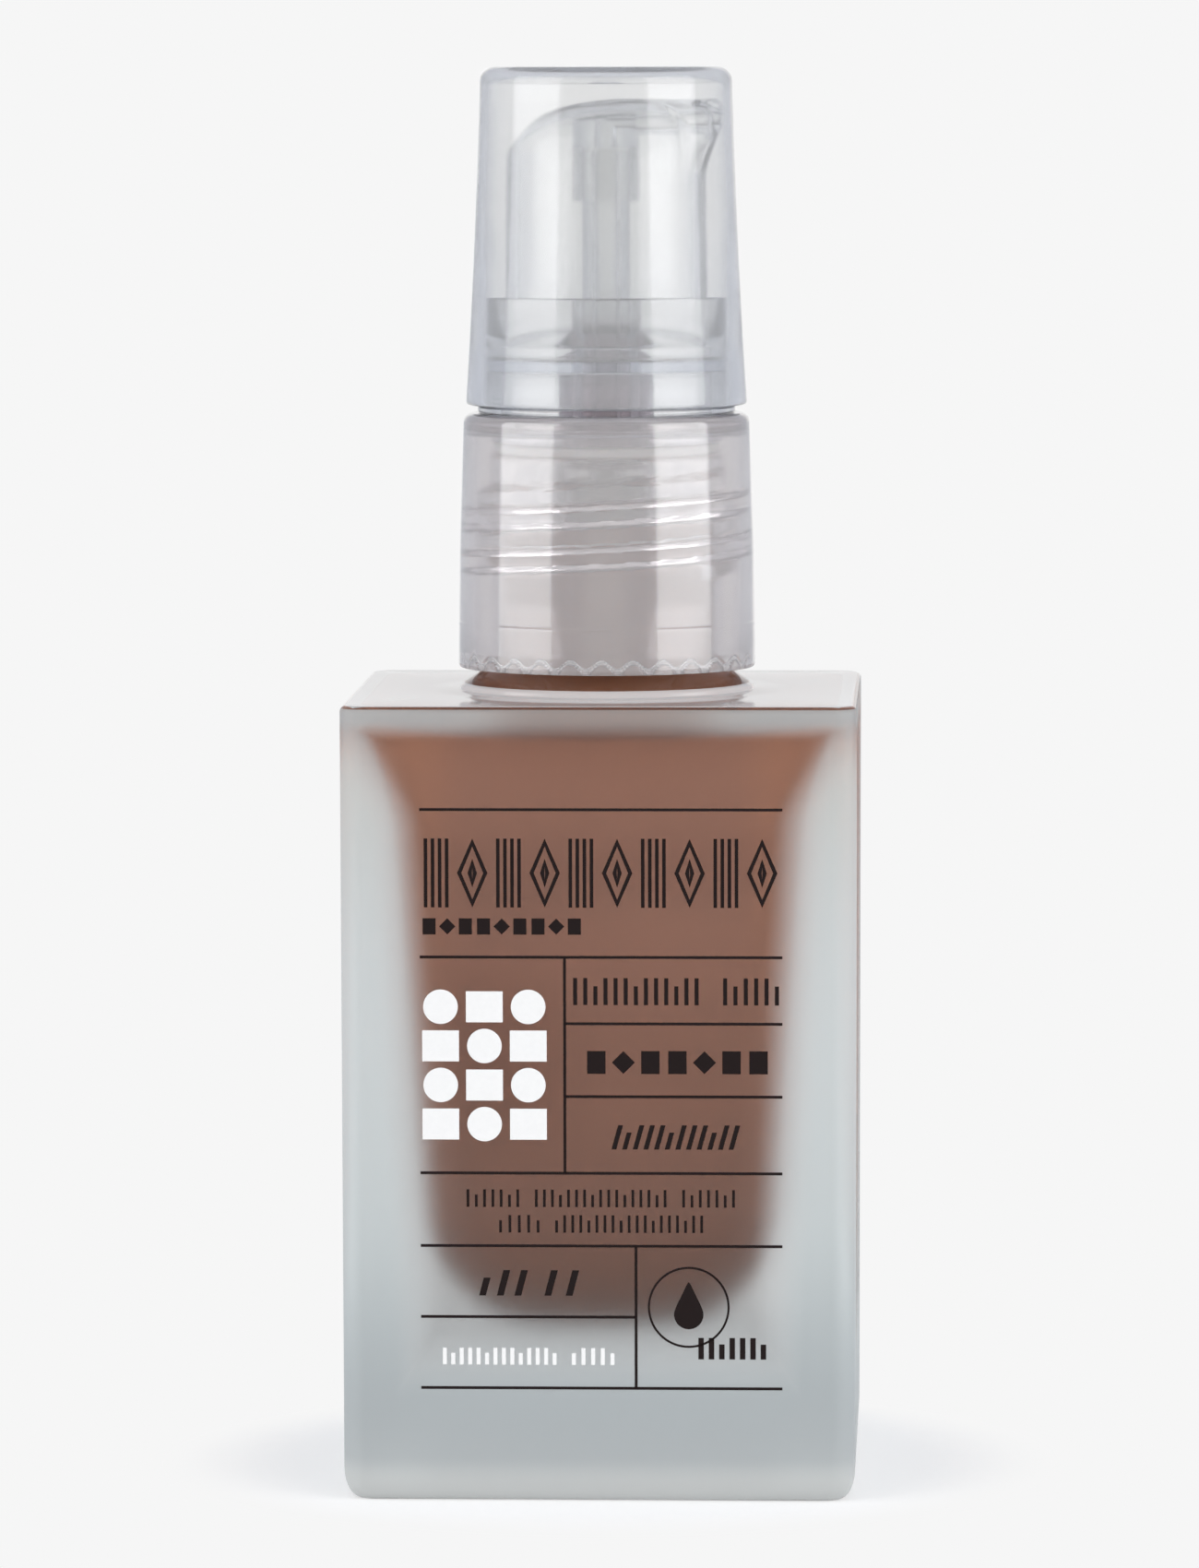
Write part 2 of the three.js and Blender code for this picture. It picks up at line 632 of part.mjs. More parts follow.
function overcap() {
  const inside = CAP_TOP_Z - CAP.wall;
  const corner = 0.7;
  const outer = [CAP_BOTTOM_Z + 0.3, 85, 90, 95, CAP_TOP_Z - CAP.edge].map((z) => [capRadius(z), z]);
  return turned([
    [CAP.snap, CAP_BOTTOM_Z],
    [capRadius(CAP_BOTTOM_Z) - 0.3, CAP_BOTTOM_Z],
    ...outer,
    ...arc([capRadius(CAP_TOP_Z - CAP.edge) - CAP.edge, CAP_TOP_Z - CAP.edge], CAP.edge, 30, 90, 2),
    [0, CAP_TOP_Z],
    [0, inside - GATE.depth],
    [GATE.radius, inside - GATE.depth],
    [GATE.radius, inside],
    ...arc([capRadius(inside) - CAP.wall - corner, inside - corner], corner, 90, 0, 2),
    [capRadius(95) - CAP.wall, 95],
    [COLLAR_RADIUS + 0.1, COLLAR_TOP_Z + 0.5],
    [CAP.snap, COLLAR_TOP_Z],
  ]);
}

// ---------------------------------------------------------------------------------------------- the model

add("glass_bottle", geometryOf(glassBottle()), materials.frostedGlass);
add("foundation_filling", geometryOf(foundation()), materials.foundation);
add("screw_closure", geometryOf(closure()), materials.naturalPlastic);
add("neck_gasket", gasket(), materials.sealPlastic);
add("pump_chamber", chamber(), materials.naturalPlastic);
add("dip_tube", geometryOf(dipTube()), materials.naturalPlastic);
add("inlet_ball", inletBall(), materials.steel);
add("chaplet", chaplet(), materials.naturalPlastic);
add("pump_stem", stem(), materials.naturalPlastic);
add("valve_plug", stemPlug(), materials.sealPlastic);
add("piston_seal", pistonSeal(), materials.sealPlastic);
add("return_spring", spring(), materials.steel);
add("pump_head", geometryOf(actuator()), materials.naturalPlastic);
add("overcap", overcap(), materials.clearPlastic);

export default group;
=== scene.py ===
import math

import bmesh
import bpy
import numpy as np
from mathutils import Matrix, Vector

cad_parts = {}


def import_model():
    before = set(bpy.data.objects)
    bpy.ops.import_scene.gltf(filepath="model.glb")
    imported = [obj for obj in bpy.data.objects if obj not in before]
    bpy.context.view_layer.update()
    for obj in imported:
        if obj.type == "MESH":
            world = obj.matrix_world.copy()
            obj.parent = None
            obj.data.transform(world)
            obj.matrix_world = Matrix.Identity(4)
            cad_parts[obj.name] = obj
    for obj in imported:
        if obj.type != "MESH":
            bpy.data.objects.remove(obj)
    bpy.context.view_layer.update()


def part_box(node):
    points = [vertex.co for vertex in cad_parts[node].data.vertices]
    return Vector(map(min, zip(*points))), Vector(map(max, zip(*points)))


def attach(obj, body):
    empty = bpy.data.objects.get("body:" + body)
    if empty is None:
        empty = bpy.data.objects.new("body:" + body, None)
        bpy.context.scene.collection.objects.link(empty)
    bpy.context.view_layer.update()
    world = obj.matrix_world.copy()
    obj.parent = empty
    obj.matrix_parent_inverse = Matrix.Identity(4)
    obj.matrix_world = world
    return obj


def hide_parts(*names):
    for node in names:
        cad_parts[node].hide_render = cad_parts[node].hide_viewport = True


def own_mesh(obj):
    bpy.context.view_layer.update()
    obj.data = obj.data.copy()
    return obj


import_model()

MM = 0.001


def node_box(node):
    """A CAD node's lowest and highest corners, in millimetres."""
    low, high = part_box(node)
    return low / MM, high / MM


# ---- driving sizes

_, GLASS_HIGH = node_box("glass_bottle")
FILL_LOW, FILL_HIGH = node_box("foundation_filling")
CLOSURE_LOW, CLOSURE_HIGH = node_box("screw_closure")
CHAPLET_LOW, CHAPLET_HIGH = node_box("chaplet")
GASKET_LOW, GASKET_HIGH = node_box("neck_gasket")
CHAMBER_LOW, CHAMBER_HIGH = node_box("pump_chamber")
TUBE_LOW, TUBE_HIGH = node_box("dip_tube")
BALL_LOW, BALL_HIGH = node_box("inlet_ball")
STEM_LOW, STEM_HIGH = node_box("pump_stem")
PLUG_LOW, PLUG_HIGH = node_box("valve_plug")
SEAL_LOW, SEAL_HIGH = node_box("piston_seal")
SPRING_LOW, SPRING_HIGH = node_box("return_spring")
HEAD_LOW, HEAD_HIGH = node_box("pump_head")
CAP_LOW, CAP_HIGH = node_box("overcap")

SHOULDER_Z = 59.0
BODY_TOP_HALF = GLASS_HIGH.x
DRAFT = 0.1  # how much wider the body's side stands at the shoulder than at the base
NECK_TOP = GLASS_HIGH.z
NECK_RADIUS = 8.85
NECK_BORE = 5.3
NECK_FOOT = 11.1
THREAD_REACH = 1.0
THREAD_PITCH = 3.175
THREAD_START = NECK_TOP - 1.7
CAVITY_FLOOR = FILL_LOW.z - 0.3
CAVITY_TOP = 57.0
CAVITY_FLARE = 50.0  # the cavity's walls spread from here up
BOWL_TOP = 22.0  # the cavity's floor rounds down from here
BOWL_CORNER = 6.5
FLARE_RADIUS, FLARE_TOP = 8.6, 62.5  # the bore widens from here down into the cavity
BARREL_RADIUS = 3.95  # the pump chamber, with the inlet ball's cage and the dip tube's socket below it
CAGE_RADIUS, CAGE_TOP = 3.0, 56.0
SOCKET_RADIUS, SOCKET_TOP = 2.5, 51.7
SNAP_Z = 84.9  # the bead on the collar that holds the overcap


# ---- mesh tools

CORNER_STEPS = 14
SIDE_STEPS = 12


def quarter(steps, start=0, end=90):
    """Angles in radians, evenly spaced over part of a quarter turn."""
    return [math.radians(start + (end - start) * i / steps) for i in range(steps + 1)]


def whole_turn(sides, start=0.0):
    """Evenly spaced angles all the way round, in radians."""
    return np.linspace(start, start + 2 * math.pi, sides, endpoint=False)


def square_ring(half, corner, z):
    """Points of a rounded square, counter-clockwise, at one height."""
    points = []
    for quarter in range(4):
        turn = quarter * math.pi / 2
        signs = [(1, 1), (-1, 1), (-1, -1), (1, -1)]
        centre = np.array(signs[quarter]) * (half - corner)
        arc = [turn + math.pi / 2 * i / CORNER_STEPS for i in range(CORNER_STEPS + 1)]
        points += [centre + corner * np.array((math.cos(a), math.sin(a))) for a in arc]
        next_turn = turn + math.pi / 2
        next_centre = np.array(signs[(quarter + 1) % 4]) * (half - corner)
        start = points[-1]
        end = next_centre + corner * np.array((math.cos(next_turn), math.sin(next_turn)))
        points += [start + (end - start) * i / SIDE_STEPS for i in range(1, SIDE_STEPS)]
    return np.array([(x, y, z) for x, y in points])


RING_ANGLES = np.array([math.atan2(y, x) for x, y, _ in square_ring(1, 0.55, 0)])


def round_ring(radius, z, angles=RING_ANGLES):
    """Points of a circle at one height. The radius may differ from point to point."""
    return np.stack([radius * np.cos(angles), radius * np.sin(angles), z + 0 * angles], axis=1)


def finish_mesh(name, mesh, sharp=35):
    """Turns a mesh outwards, shades it smooth except at creases, and links it as an object."""
    bm = bmesh.new()
    bm.from_mesh(mesh)
    bmesh.ops.remove_doubles(bm, verts=bm.verts, dist=1e-7)
    bmesh.ops.recalc_face_normals(bm, faces=bm.faces)
    bm.to_mesh(mesh)
    bm.free()
    mesh.shade_smooth()
    mesh.set_sharp_from_angle(angle=math.radians(sharp))
    piece = bpy.data.objects.new(name, mesh)
    bpy.context.scene.collection.objects.link(piece)
    return piece


def skin(name, rings, closed=False, sharp=35):
    """Joins a stack of rings, in millimetres, into one closed mesh. closed joins the last ring to the first,
    and otherwise both end rings are filled."""
    count = len(rings[0])
    points = np.concatenate(rings) * MM
    faces = []
    for i in range(len(rings) if closed else len(rings) - 1):
        first = i * count
        second = ((i + 1) % len(rings)) * count
        for j in range(count):
            k = (j + 1) % count
            faces.append((first + j, first + k, second + k, second + j))
    if not closed:
        faces.append(tuple(range(count - 1, -1, -1)))
        faces.append(tuple(range((len(rings) - 1) * count, len(rings) * count)))
    mesh = bpy.data.meshes.new(name)
    mesh.from_pydata(points.tolist(), [], faces)
    return finish_mesh(name, mesh, sharp)


def filleted(outline, steps=5):
    """An outline of (radius, z) or (radius, z, fillet) corners, as points with every fillet rounded off."""
    points = []
    for i, corner in enumerate(outline):
        here = np.array(corner[:2], float)
        fillet = corner[2] if len(corner) > 2 else 0
        if fillet == 0:
            points.append(here)
            continue
        before = np.array(outline[i - 1][:2], float)
        after = np.array(outline[(i + 1) % len(outline)][:2], float)
        a = (before - here) / np.linalg.norm(before - here)
        b = (after - here) / np.linalg.norm(after - here)
        half_angle = math.acos(np.clip(a @ b, -1, 1)) / 2
        reach = fillet / math.tan(half_angle)
        centre = here + (a + b) / np.linalg.norm(a + b) * fillet / math.sin(half_angle)
        start, end = here + a * reach - centre, here + b * reach - centre
        for step in range(steps + 1):
            t = step / steps
            spread = math.acos(np.clip(start @ end / fillet**2, -1, 1))
            along = (math.sin((1 - t) * spread) * start + math.sin(t * spread) * end) / math.sin(spread)
            points.append(centre + along)
    return points


def stretch(radius, start, end, step=0.14):
    """Closely spaced points up or down a straight wall, for a thread to be raised on."""
    count = max(2, round(abs(end - start) / step))
    return [(radius, start + (end - start) * i / count) for i in range(count + 1)]


def lathe(name, outline, sides=96, shape=None, sharp=35):
    """Revolves a closed outline about Z. shape(radius, z, angles) may change the radius along a ring."""
    angles = whole_turn(sides)
    points = filleted(outline)
    on_axis = [p for p in points if p[0] < 1e-9]
    if on_axis:
        while points[0][0] > 1e-9 or points[-1][0] > 1e-9:
            points.append(points.pop(0))
    rings = []
    for radius, z in points:
        at = shape(radius, z, angles) if shape else radius
        rings.append(round_ring(at, z, angles))
    return skin(name, rings, closed=not on_axis, sharp=sharp)


def ridge(z, angles, top, turns, root, crest):
    """How far a right-hand thread stands out, from 0 to 1, at a height and angles. It starts at top, at angle
    0, and root and crest are the widths of its section."""
    run_out = 0.12  # in turns, at each end
    share = angles / (2 * math.pi)
    height = np.zeros_like(angles)
    for turn in range(math.ceil(turns) + 1):
        down = turn - share  # turns below the thread's top end
        centre = top - down * THREAD_PITCH
        away = np.abs(z - centre)
        section = np.clip((root / 2 - away) / (root / 2 - crest / 2), 0, 1)
        section = section * section * (3 - 2 * section)
        ends = np.clip(np.minimum(down, turns - down) / run_out, 0, 1)
        height = np.maximum(height, section * ends)
    return height


def boolean(piece, other, operation):
    """Joins, cuts or keeps the common part of two meshes, in place, and removes the other one."""
    modifier = piece.modifiers.new("cut", "BOOLEAN")
    modifier.operation = operation
    modifier.solver = "EXACT"
    modifier.object = other
    depsgraph = bpy.context.evaluated_depsgraph_get()
    made = bpy.data.meshes.new_from_object(piece.evaluated_get(depsgraph))
    piece.modifiers.clear()
    piece.data = made
    bpy.data.objects.remove(other)


# ---- materials


def feed(tree, node, **inputs):
    """Links a node's inputs to other nodes' outputs, or sets them to plain numbers or colours. An underscore
    in an input's name stands for a space."""
    for name, value in inputs.items():
        socket = node.inputs[name.replace("_", " ")]
        if isinstance(value, bpy.types.NodeSocket):
            tree.links.new(value, socket)
        else:
            socket.default_value = (*value, 1) if isinstance(value, tuple) else value
    return node


def added(tree, kind, **inputs):
    """A new node, with its inputs fed."""
    return feed(tree, tree.nodes.new("ShaderNode" + kind), **inputs)


def principled(name, **inputs):
    """A new material, its node tree and its Principled shader."""
    made = bpy.data.materials.new(name)
    made.use_nodes = True
    tree = made.node_tree
    return made, tree, feed(tree, tree.nodes["Principled BSDF"], **inputs)


def object_parts(tree):
    """The X, Y and Z of the object coordinates."""
    return added(tree, "SeparateXYZ", Vector=added(tree, "TexCoord").outputs["Object"]).outputs


def noise(tree, scale, detail, stretch_by=(1, 1, 1)):
    """A noise texture in object space. The scale is in features per metre."""
    mapping = added(tree, "Mapping", Vector=added(tree, "TexCoord").outputs["Object"])
    mapping.inputs["Scale"].default_value = stretch_by
    texture = added(tree, "TexNoise", Vector=mapping.outputs["Vector"], Scale=scale, Detail=detail)
    return texture.outputs["Fac"]


def maths(tree, operation, *values):
    """A Math node. Its inputs are sockets or plain numbers."""
    node = tree.nodes.new("ShaderNodeMath")
    node.operation = operation
    for socket, value in zip(node.inputs, values):
        if isinstance(value, bpy.types.NodeSocket):
            tree.links.new(value, socket)
        else:
            socket.default_value = value
    return node.outputs["Value"]


def between(tree, factor, low, high):
    """Maps a 0 to 1 value to a range."""
    return added(tree, "MapRange", Value=factor, To_Min=low, To_Max=high).outputs["Result"]


def smooth_range(tree, value, low, high):
    """0 below low, 1 above high and smooth between. high may be less than low."""
    node = added(tree, "MapRange", Value=value, From_Min=low, From_Max=high)
    node.interpolation_type = "SMOOTHSTEP"
    return node.outputs["Result"]


def soft_step(tree, value, low, high):
    """The same, with low and high in millimetres."""
    return smooth_range(tree, value, low * MM, high * MM)


def mixed(tree, factor, first, second, blend="MIX"):
    """Two colours, plain or from sockets, mixed by a value."""
    node = tree.nodes.new("ShaderNodeMix")
    node.data_type = "RGBA"
    node.blend_type = blend
    return feed(tree, node, Factor=factor, A=first, B=second).outputs["Result"]


def multiplied(tree, first, second):
    """The product of two colours."""
    return mixed(tree, 1, first, second, "MULTIPLY")


def stepped(tree, value, low, high, below, above):
    """Goes smoothly from one colour to another as a value goes from low to high."""
    return mixed(tree, smooth_range(tree, value, low, high), below, above)


def height_ramp(tree, low, high, stops):
    """A colour ramp over object height, from low to high millimetres, with (place, colour) stops."""
    place = added(tree, "MapRange", Value=object_parts(tree)["Z"], From_Min=low * MM, From_Max=high * MM)
    node = added(tree, "ValToRGB", Fac=place.outputs["Result"])
    ramp = node.color_ramp
    ramp.interpolation = "B_SPLINE"
    while len(ramp.elements) < len(stops):
        ramp.elements.new(0.5)
    for element, (position, colour) in zip(ramp.elements, stops):
        element.position = position
        element.color = (*colour, 1)
    return node.outputs["Color"]


def bumped(tree, shader, factor, distance, strength):
    """Adds a bump of a height in millimetres to a shader."""
    node = added(tree, "Bump", Height=factor, Distance=distance * MM, Strength=strength)
    feed(tree, shader, Normal=node.outputs["Normal"])


def from_middle(tree, parts):
    """How far a point on a side face is from the face's upright middle line."""
    away = [maths(tree, "ABSOLUTE", parts[axis]) for axis in "XY"]
    return maths(tree, "MINIMUM", *away)


def solid_glass_share(tree, parts, across):
    """How far a point on a face is from having filling behind it: 0 over the cavity, 1 over solid glass at
    the sides and the base. The bare border narrows towards the shoulder, where the cavity flares."""
    height = parts["Z"]
    flare = maths(tree, "MULTIPLY", soft_step(tree, height, 50, 58), 3 * MM)
    lean = maths(tree, "MULTIPLY", maths(tree, "SUBTRACT", height, 30 * MM), 0.05)
    reach = maths(tree, "SUBTRACT", maths(tree, "SUBTRACT", across, flare), lean)
    sides = soft_step(tree, reach, 11.6, 16.4)
    base = soft_step(tree, height, 14.5, 7.5)
    towards_corner = maths(tree, "MULTIPLY_ADD", soft_step(tree, across, 3, 15), 0.3, 0.33)
    rim = maths(tree, "MULTIPLY", soft_step(tree, height, 56.4, 58.2), towards_corner)
    return maths(tree, "MAXIMUM", maths(tree, "MAXIMUM", sides, base), rim)


def frosted_glass():
    """Thick glass with a satin etch. Where it is solid right through it scatters more, in a green-grey with
    painted light and shade by height: a lighter strip along the heel, painted shade darkest above the heel,
    and a warm painted light under the shoulder's edge that turns darker and bluer towards the corners."""
    made, tree, shader = principled("frosted_glass", IOR=1.5)
    parts = object_parts(tree)
    across = from_middle(tree, parts)
    solid = solid_glass_share(tree, parts, across)
    # Painted light and shade by height: a lighter strip along the heel, painted shade darkest just above it,
    # and a warm painted light under the shoulder's edge.
    painted_light_and_scatter = height_ramp(
        tree,
        0,
        SHOULDER_Z,
        [
            (0.0, (0.56, 0.575, 0.57)),
            (0.03, (0.62, 0.64, 0.63)),
            (0.055, (0.43, 0.465, 0.48)),
            (0.17, (0.42, 0.46, 0.475)),
            (0.35, (0.60, 0.65, 0.655)),
            (0.7, (0.65, 0.70, 0.71)),
            (0.93, (0.57, 0.605, 0.59)),
            (1.0, (0.62, 0.545, 0.47)),
        ],
    )
    # Painted shade: under the shoulder's edge the band turns darker and bluer towards the corners.
    rim, corner = soft_step(tree, parts["Z"], 55.5, 58), soft_step(tree, across, 4, 13)
    painted_rim_corner_shade = maths(tree, "MULTIPLY", rim, corner)
    painted_light_and_scatter = multiplied(tree, painted_light_and_scatter, mixed(tree, painted_rim_corner_shade, (1, 1, 1), (0.66, 0.8, 0.9)))
    grain = noise(tree, 2600, 3)
    # Over solid glass the etch is milkier and takes the painted shades above. The milky border is painted in
    # place of the light that crosses the solid glass, on top of the glass's own haze.
    feed(tree, shader, Base_Color=mixed(tree, solid, (0.93, 0.945, 0.945), painted_light_and_scatter))
    feed(tree, shader, Transmission_Weight=between(tree, solid, 1.0, 0.35))
    feed(tree, shader, Roughness=between(tree, grain, 0.49, 0.55))
    bumped(tree, shader, grain, 0.004, 0.4)
    return made


def pressed_glass(name, clear, tint, roughness):
    """Smooth pressed glass with a faint waviness. clear is the share of light that isn't scattered."""
    made, tree, shader = principled(name, IOR=1.5, Transmission_Weight=clear, Roughness=roughness)
    wave = noise(tree, 220, 2)
    light = tuple(min(1, channel + 0.02) for channel in tint)
    feed(tree, shader, Base_Color=mixed(tree, wave, tint, light))
    bumped(tree, shader, wave, 0.02, 0.35)
    return made


def foundation_cream():
    """Opaque brown cream with a slight random unevenness. Painted shade makes it darker towards the bottom,
    and painted light makes it a little lighter towards the side walls and warmer and lighter in the neck."""
    made, tree, shader = principled("foundation_cream", Roughness=0.5, IOR=1.4)
    drift = noise(tree, 60, 3, (1, 1, 0.4))
    cream = mixed(tree, drift, (0.370, 0.152, 0.088), (0.410, 0.172, 0.102))
    # Painted shade and light by height: darker over the bottom third, full colour at mid-height, warmer and
    # lighter in the neck.
    painted_shade_and_light_by_height = height_ramp(
        tree,
        12,
        64,
        [
            (0.07, (0.62, 0.585, 0.57)),
            (0.18, (0.64, 0.60, 0.575)),
            (0.33, (0.86, 0.80, 0.74)),
            (0.58, (1, 1, 1)),
            (0.88, (1, 1, 1)),
            (0.92, (1.25, 1.1, 0.82)),
        ],
    )
    across = from_middle(tree, object_parts(tree))
    # Painted light: the cream is lighter towards the side walls.
    painted_side_light = mixed(tree, soft_step(tree, across, 9.5, 13.5), (1, 1, 1), (1.18, 1.14, 1.03))
    body = multiplied(tree, multiplied(tree, cream, painted_shade_and_light_by_height), painted_side_light)
    feed(tree, shader, Base_Color=body, Roughness=between(tree, drift, 0.45, 0.55))
    return made


def absorbing(made, colour, density):
    """Gives a clear material a tint that deepens with the thickness that light crosses."""
    tree = made.node_tree
    volume = added(tree, "VolumeAbsorption", Color=colour, Density=density)
    feed(tree, tree.nodes["Material Output"], Volume=volume.outputs["Volume"])


def moulded_plastic(name, ior, dark, light, haze, roughness, painted_filling_tint=None, coat=0):
    """Natural translucent plastic: haze is the share of light that it scatters, and coat its surface gloss.
    The tint given for the hub is painted low on it: a painted mauve in place of the filling seen through it."""
    made, tree, shader = principled(name, IOR=ior, Transmission_Weight=1 - haze)
    feed(tree, shader, Coat_Weight=coat, Coat_Roughness=0.1, Coat_IOR=1.5)
    colour = mixed(tree, noise(tree, 130, 3, (1, 1, 0.35)), dark, light)
    # A painted tint low on the hub, standing for the filling seen through it.
    if painted_filling_tint:
        colour = multiplied(tree, colour, height_ramp(tree, 80, 87, [(0.45, painted_filling_tint), (0.85, (1, 1, 1))]))
    gloss = between(tree, noise(tree, 900, 2), roughness * 0.85, roughness * 1.15)
    feed(tree, shader, Base_Color=colour, Roughness=gloss)
    return made


def grained(name, grain, dark, light, roughness, bump=None, **sockets):
    """A material with one fine grain in its colour, its roughness and its bump (height and strength)."""
    made, tree, shader = principled(name, **sockets)
    pattern = noise(tree, *grain)
    colour = mixed(tree, pattern, dark, light)
    feed(tree, shader, Base_Color=colour, Roughness=between(tree, pattern, *roughness))
    if bump:
        bumped(tree, shader, pattern, *bump)
    return made


def ink(name, dark, light):
    """Screen-printed ink, with slightly uneven cover."""
    cover = (2500, 4)
    return grained(name, cover, dark, light, (0.5, 0.65), (0.008, 0.4), IOR=1.45, Specular_IOR_Level=0.2)


def grey(level, blue=None):
    """A grey, or a near grey with its own blue."""
    return (level, level, level if blue is None else blue)


GLASS_FROSTED = frosted_glass()
GLASS_CLEAR = pressed_glass("clear_glass", 1.0, (0.95, 0.965, 0.965), 0.04)
GLASS_SHOULDER = pressed_glass("shoulder_glass", 0.5, (0.975, 0.97, 0.97), 0.08)
CREAM = foundation_cream()
LAVENDER = (0.25, 0.37, 0.63)
PINK_GREY = (0.32, 0.17, 0.22)
CLOSURE_PLASTIC = moulded_plastic(
    "closure_plastic", 1.57, (0.93, 0.905, 0.905), (0.96, 0.935, 0.935), 0.2, 0.13, coat=0.85
)
# A whiter, hazier plastic for the wavy bead: the bead's plastic with a painted glint along the wave.
SCALLOP_PAINTED_GLINT = moulded_plastic("scallop_painted_glint", 1.57, grey(0.97), grey(0.99), 0.75, 0.1, coat=1)
PUMP_PLASTIC = moulded_plastic("pump_plastic", 1.42, grey(0.985, 0.98), grey(0.995, 0.99), 0.06, 0.09)
# The hub's plastic carries a painted mauve low down, in place of the filling seen through it.
HUB_PLASTIC = moulded_plastic("hub_plastic", 1.42, grey(0.985), grey(0.995), 0.08, 0.12, (0.66, 0.55, 0.58))
CAP_PLASTIC = moulded_plastic("cap_plastic", 1.42, (0.985, 0.98, 0.965), (0.995, 0.99, 0.98), 0.12, 0.1)
absorbing(CLOSURE_PLASTIC, PINK_GREY, 60)
absorbing(PUMP_PLASTIC, LAVENDER, 22)
absorbing(HUB_PLASTIC, LAVENDER, 30)
absorbing(CAP_PLASTIC, LAVENDER, 75)
SOFT = {"IOR": 1.5, "Subsurface_Weight": 0.15, "Subsurface_Scale": 0.001}
SEAL = grained("seal_plastic", (1500, 3), grey(0.78, 0.75), grey(0.84, 0.81), (0.4, 0.5), (0.01, 0.3), **SOFT)
DRAWN = (3000, 2, (1, 1, 0.2))
STEEL = grained("spring_steel", DRAWN, grey(0.50, 0.51), grey(0.62, 0.63), (0.2, 0.34), Metallic=1)
BLACK_INK = ink("black_ink", (0.006, 0.002, 0.002), (0.010, 0.004, 0.004))
WHITE_INK = ink("white_ink", grey(0.76), grey(0.82))


def install(piece, node, body, slot, *materials):
    """Gives a piece its materials and its body, and hides the CAD node that it stands for. The slot is not
    used.
    """
    for material in materials:
        piece.data.materials.append(material)
    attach(piece, body)
    if node:
        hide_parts(node)
    return piece


# ---- glass bottle


def body_half(z):
    """Half the body's width, which grows a little with height."""
    return BODY_TOP_HALF - DRAFT + DRAFT * z / SHOULDER_Z


def body_rings():
    """The body's outside, from the recess in its base up to the flat of its shoulder."""
    heel_height, heel_inset = 2.3, 1.2
    edge, shoulder_edge = 1.8, 0.5
    recess_half, recess_depth = 13.5, 0.5
    rings = [square_ring(half, 3, recess_depth) for half in (3.1, 8, recess_half - 1.5)]
    rings += [square_ring(recess_half - 0.3, 4, 0.06), square_ring(recess_half, 4, 0)]
    for a in quarter(10):
        z = heel_height * (1 - math.cos(a))
        inset = heel_inset * (1 - math.sin(a))
        rings.append(square_ring(body_half(z) - inset, edge - 0.5 * inset, z))
    for z in np.linspace(6, SHOULDER_Z - shoulder_edge - 1, 14):
        rings.append(square_ring(body_half(z), edge, z))
    for a in quarter(8):
        z = SHOULDER_Z - shoulder_edge * (1 - math.sin(a))
        inset = shoulder_edge * (1 - math.cos(a))
        rings.append(square_ring(body_half(z) - inset, edge - 0.8 * inset, z))
    return rings


def flare_points(spread):
    """Where the bore widens into the cavity, from the top down, moved outwards by spread."""
    shares = (0, 0.03, 0.1, 0.3, 0.5, 0.7, 0.9, 0.97)
    reach, drop = FLARE_RADIUS - NECK_BORE, FLARE_TOP - CAVITY_TOP
    return [(NECK_BORE + reach * t + spread, FLARE_TOP - drop * t + spread) for t in shares]


def neck_rings():
    """The neck, from the shoulder's flat over the thread and the sealing rim and down the bore."""
    slope_top = 9.1
    slope_high = SHOULDER_Z + 1.65
    rim, lip = 0.4, 0.3
    outline = [(14, SHOULDER_Z)]
    for out, up in ((0.3, 0), (0.06, 0.05), (0, 0.15), (-0.03, 0.28), (-0.12, 0.4), (-0.3, 0.53)):
        outline.append((NECK_FOOT + out, SHOULDER_Z + up))
    outline += [(slope_top + 0.15, slope_high - 0.1), (slope_top - 0.05, slope_high + 0.06)]
    outline += [(NECK_RADIUS + 0.05, slope_high + 0.22), (NECK_RADIUS, slope_high + 0.38)]
    outline += stretch(NECK_RADIUS, slope_high + 0.5, NECK_TOP - 0.5)
    for a in quarter(4):
        outline.append((NECK_RADIUS - rim * (1 - math.cos(a)), NECK_TOP - rim * (1 - math.sin(a))))
    for a in quarter(4):
        outline.append((NECK_BORE + lip * (1 - math.sin(a)), NECK_TOP - lip * (1 - math.cos(a))))
    outline += [(NECK_BORE, z) for z in np.linspace(NECK_TOP - 2, FLARE_TOP + 0.5, 8)]
    outline += flare_points(0)
    rings = []
    for radius, z in outline:
        if radius == NECK_RADIUS:
            around = RING_ANGLES % (2 * math.pi)
            radius = radius + THREAD_REACH * ridge(z, around, THREAD_START, turns=2.2, root=2.1, crest=0.8)
        rings.append(round_ring(radius, z))
    return rings


def cavity_half(z):
    """Half the cavity's width: a wall that leans out a little and flares into the shoulder."""
    return 13.3 + 0.065 * (z - BOWL_TOP) + 2 * math.exp((z - CAVITY_TOP) / 3)


def cavity_corner(z):
    """The cavity's corner radius, which shrinks towards the shoulder."""
    return BOWL_CORNER - 3.7 * (z - BOWL_TOP) / (CAVITY_TOP - BOWL_TOP)


def bowed(ring, amount):
    """Lifts a ring's corners and lowers the middles of its sides."""
    reach = np.abs(ring[:, :2])
    cornered = reach.min(axis=1) / reach.max(axis=1)
    ring[:, 2] += amount * (cornered**2 - 0.5)
    return ring


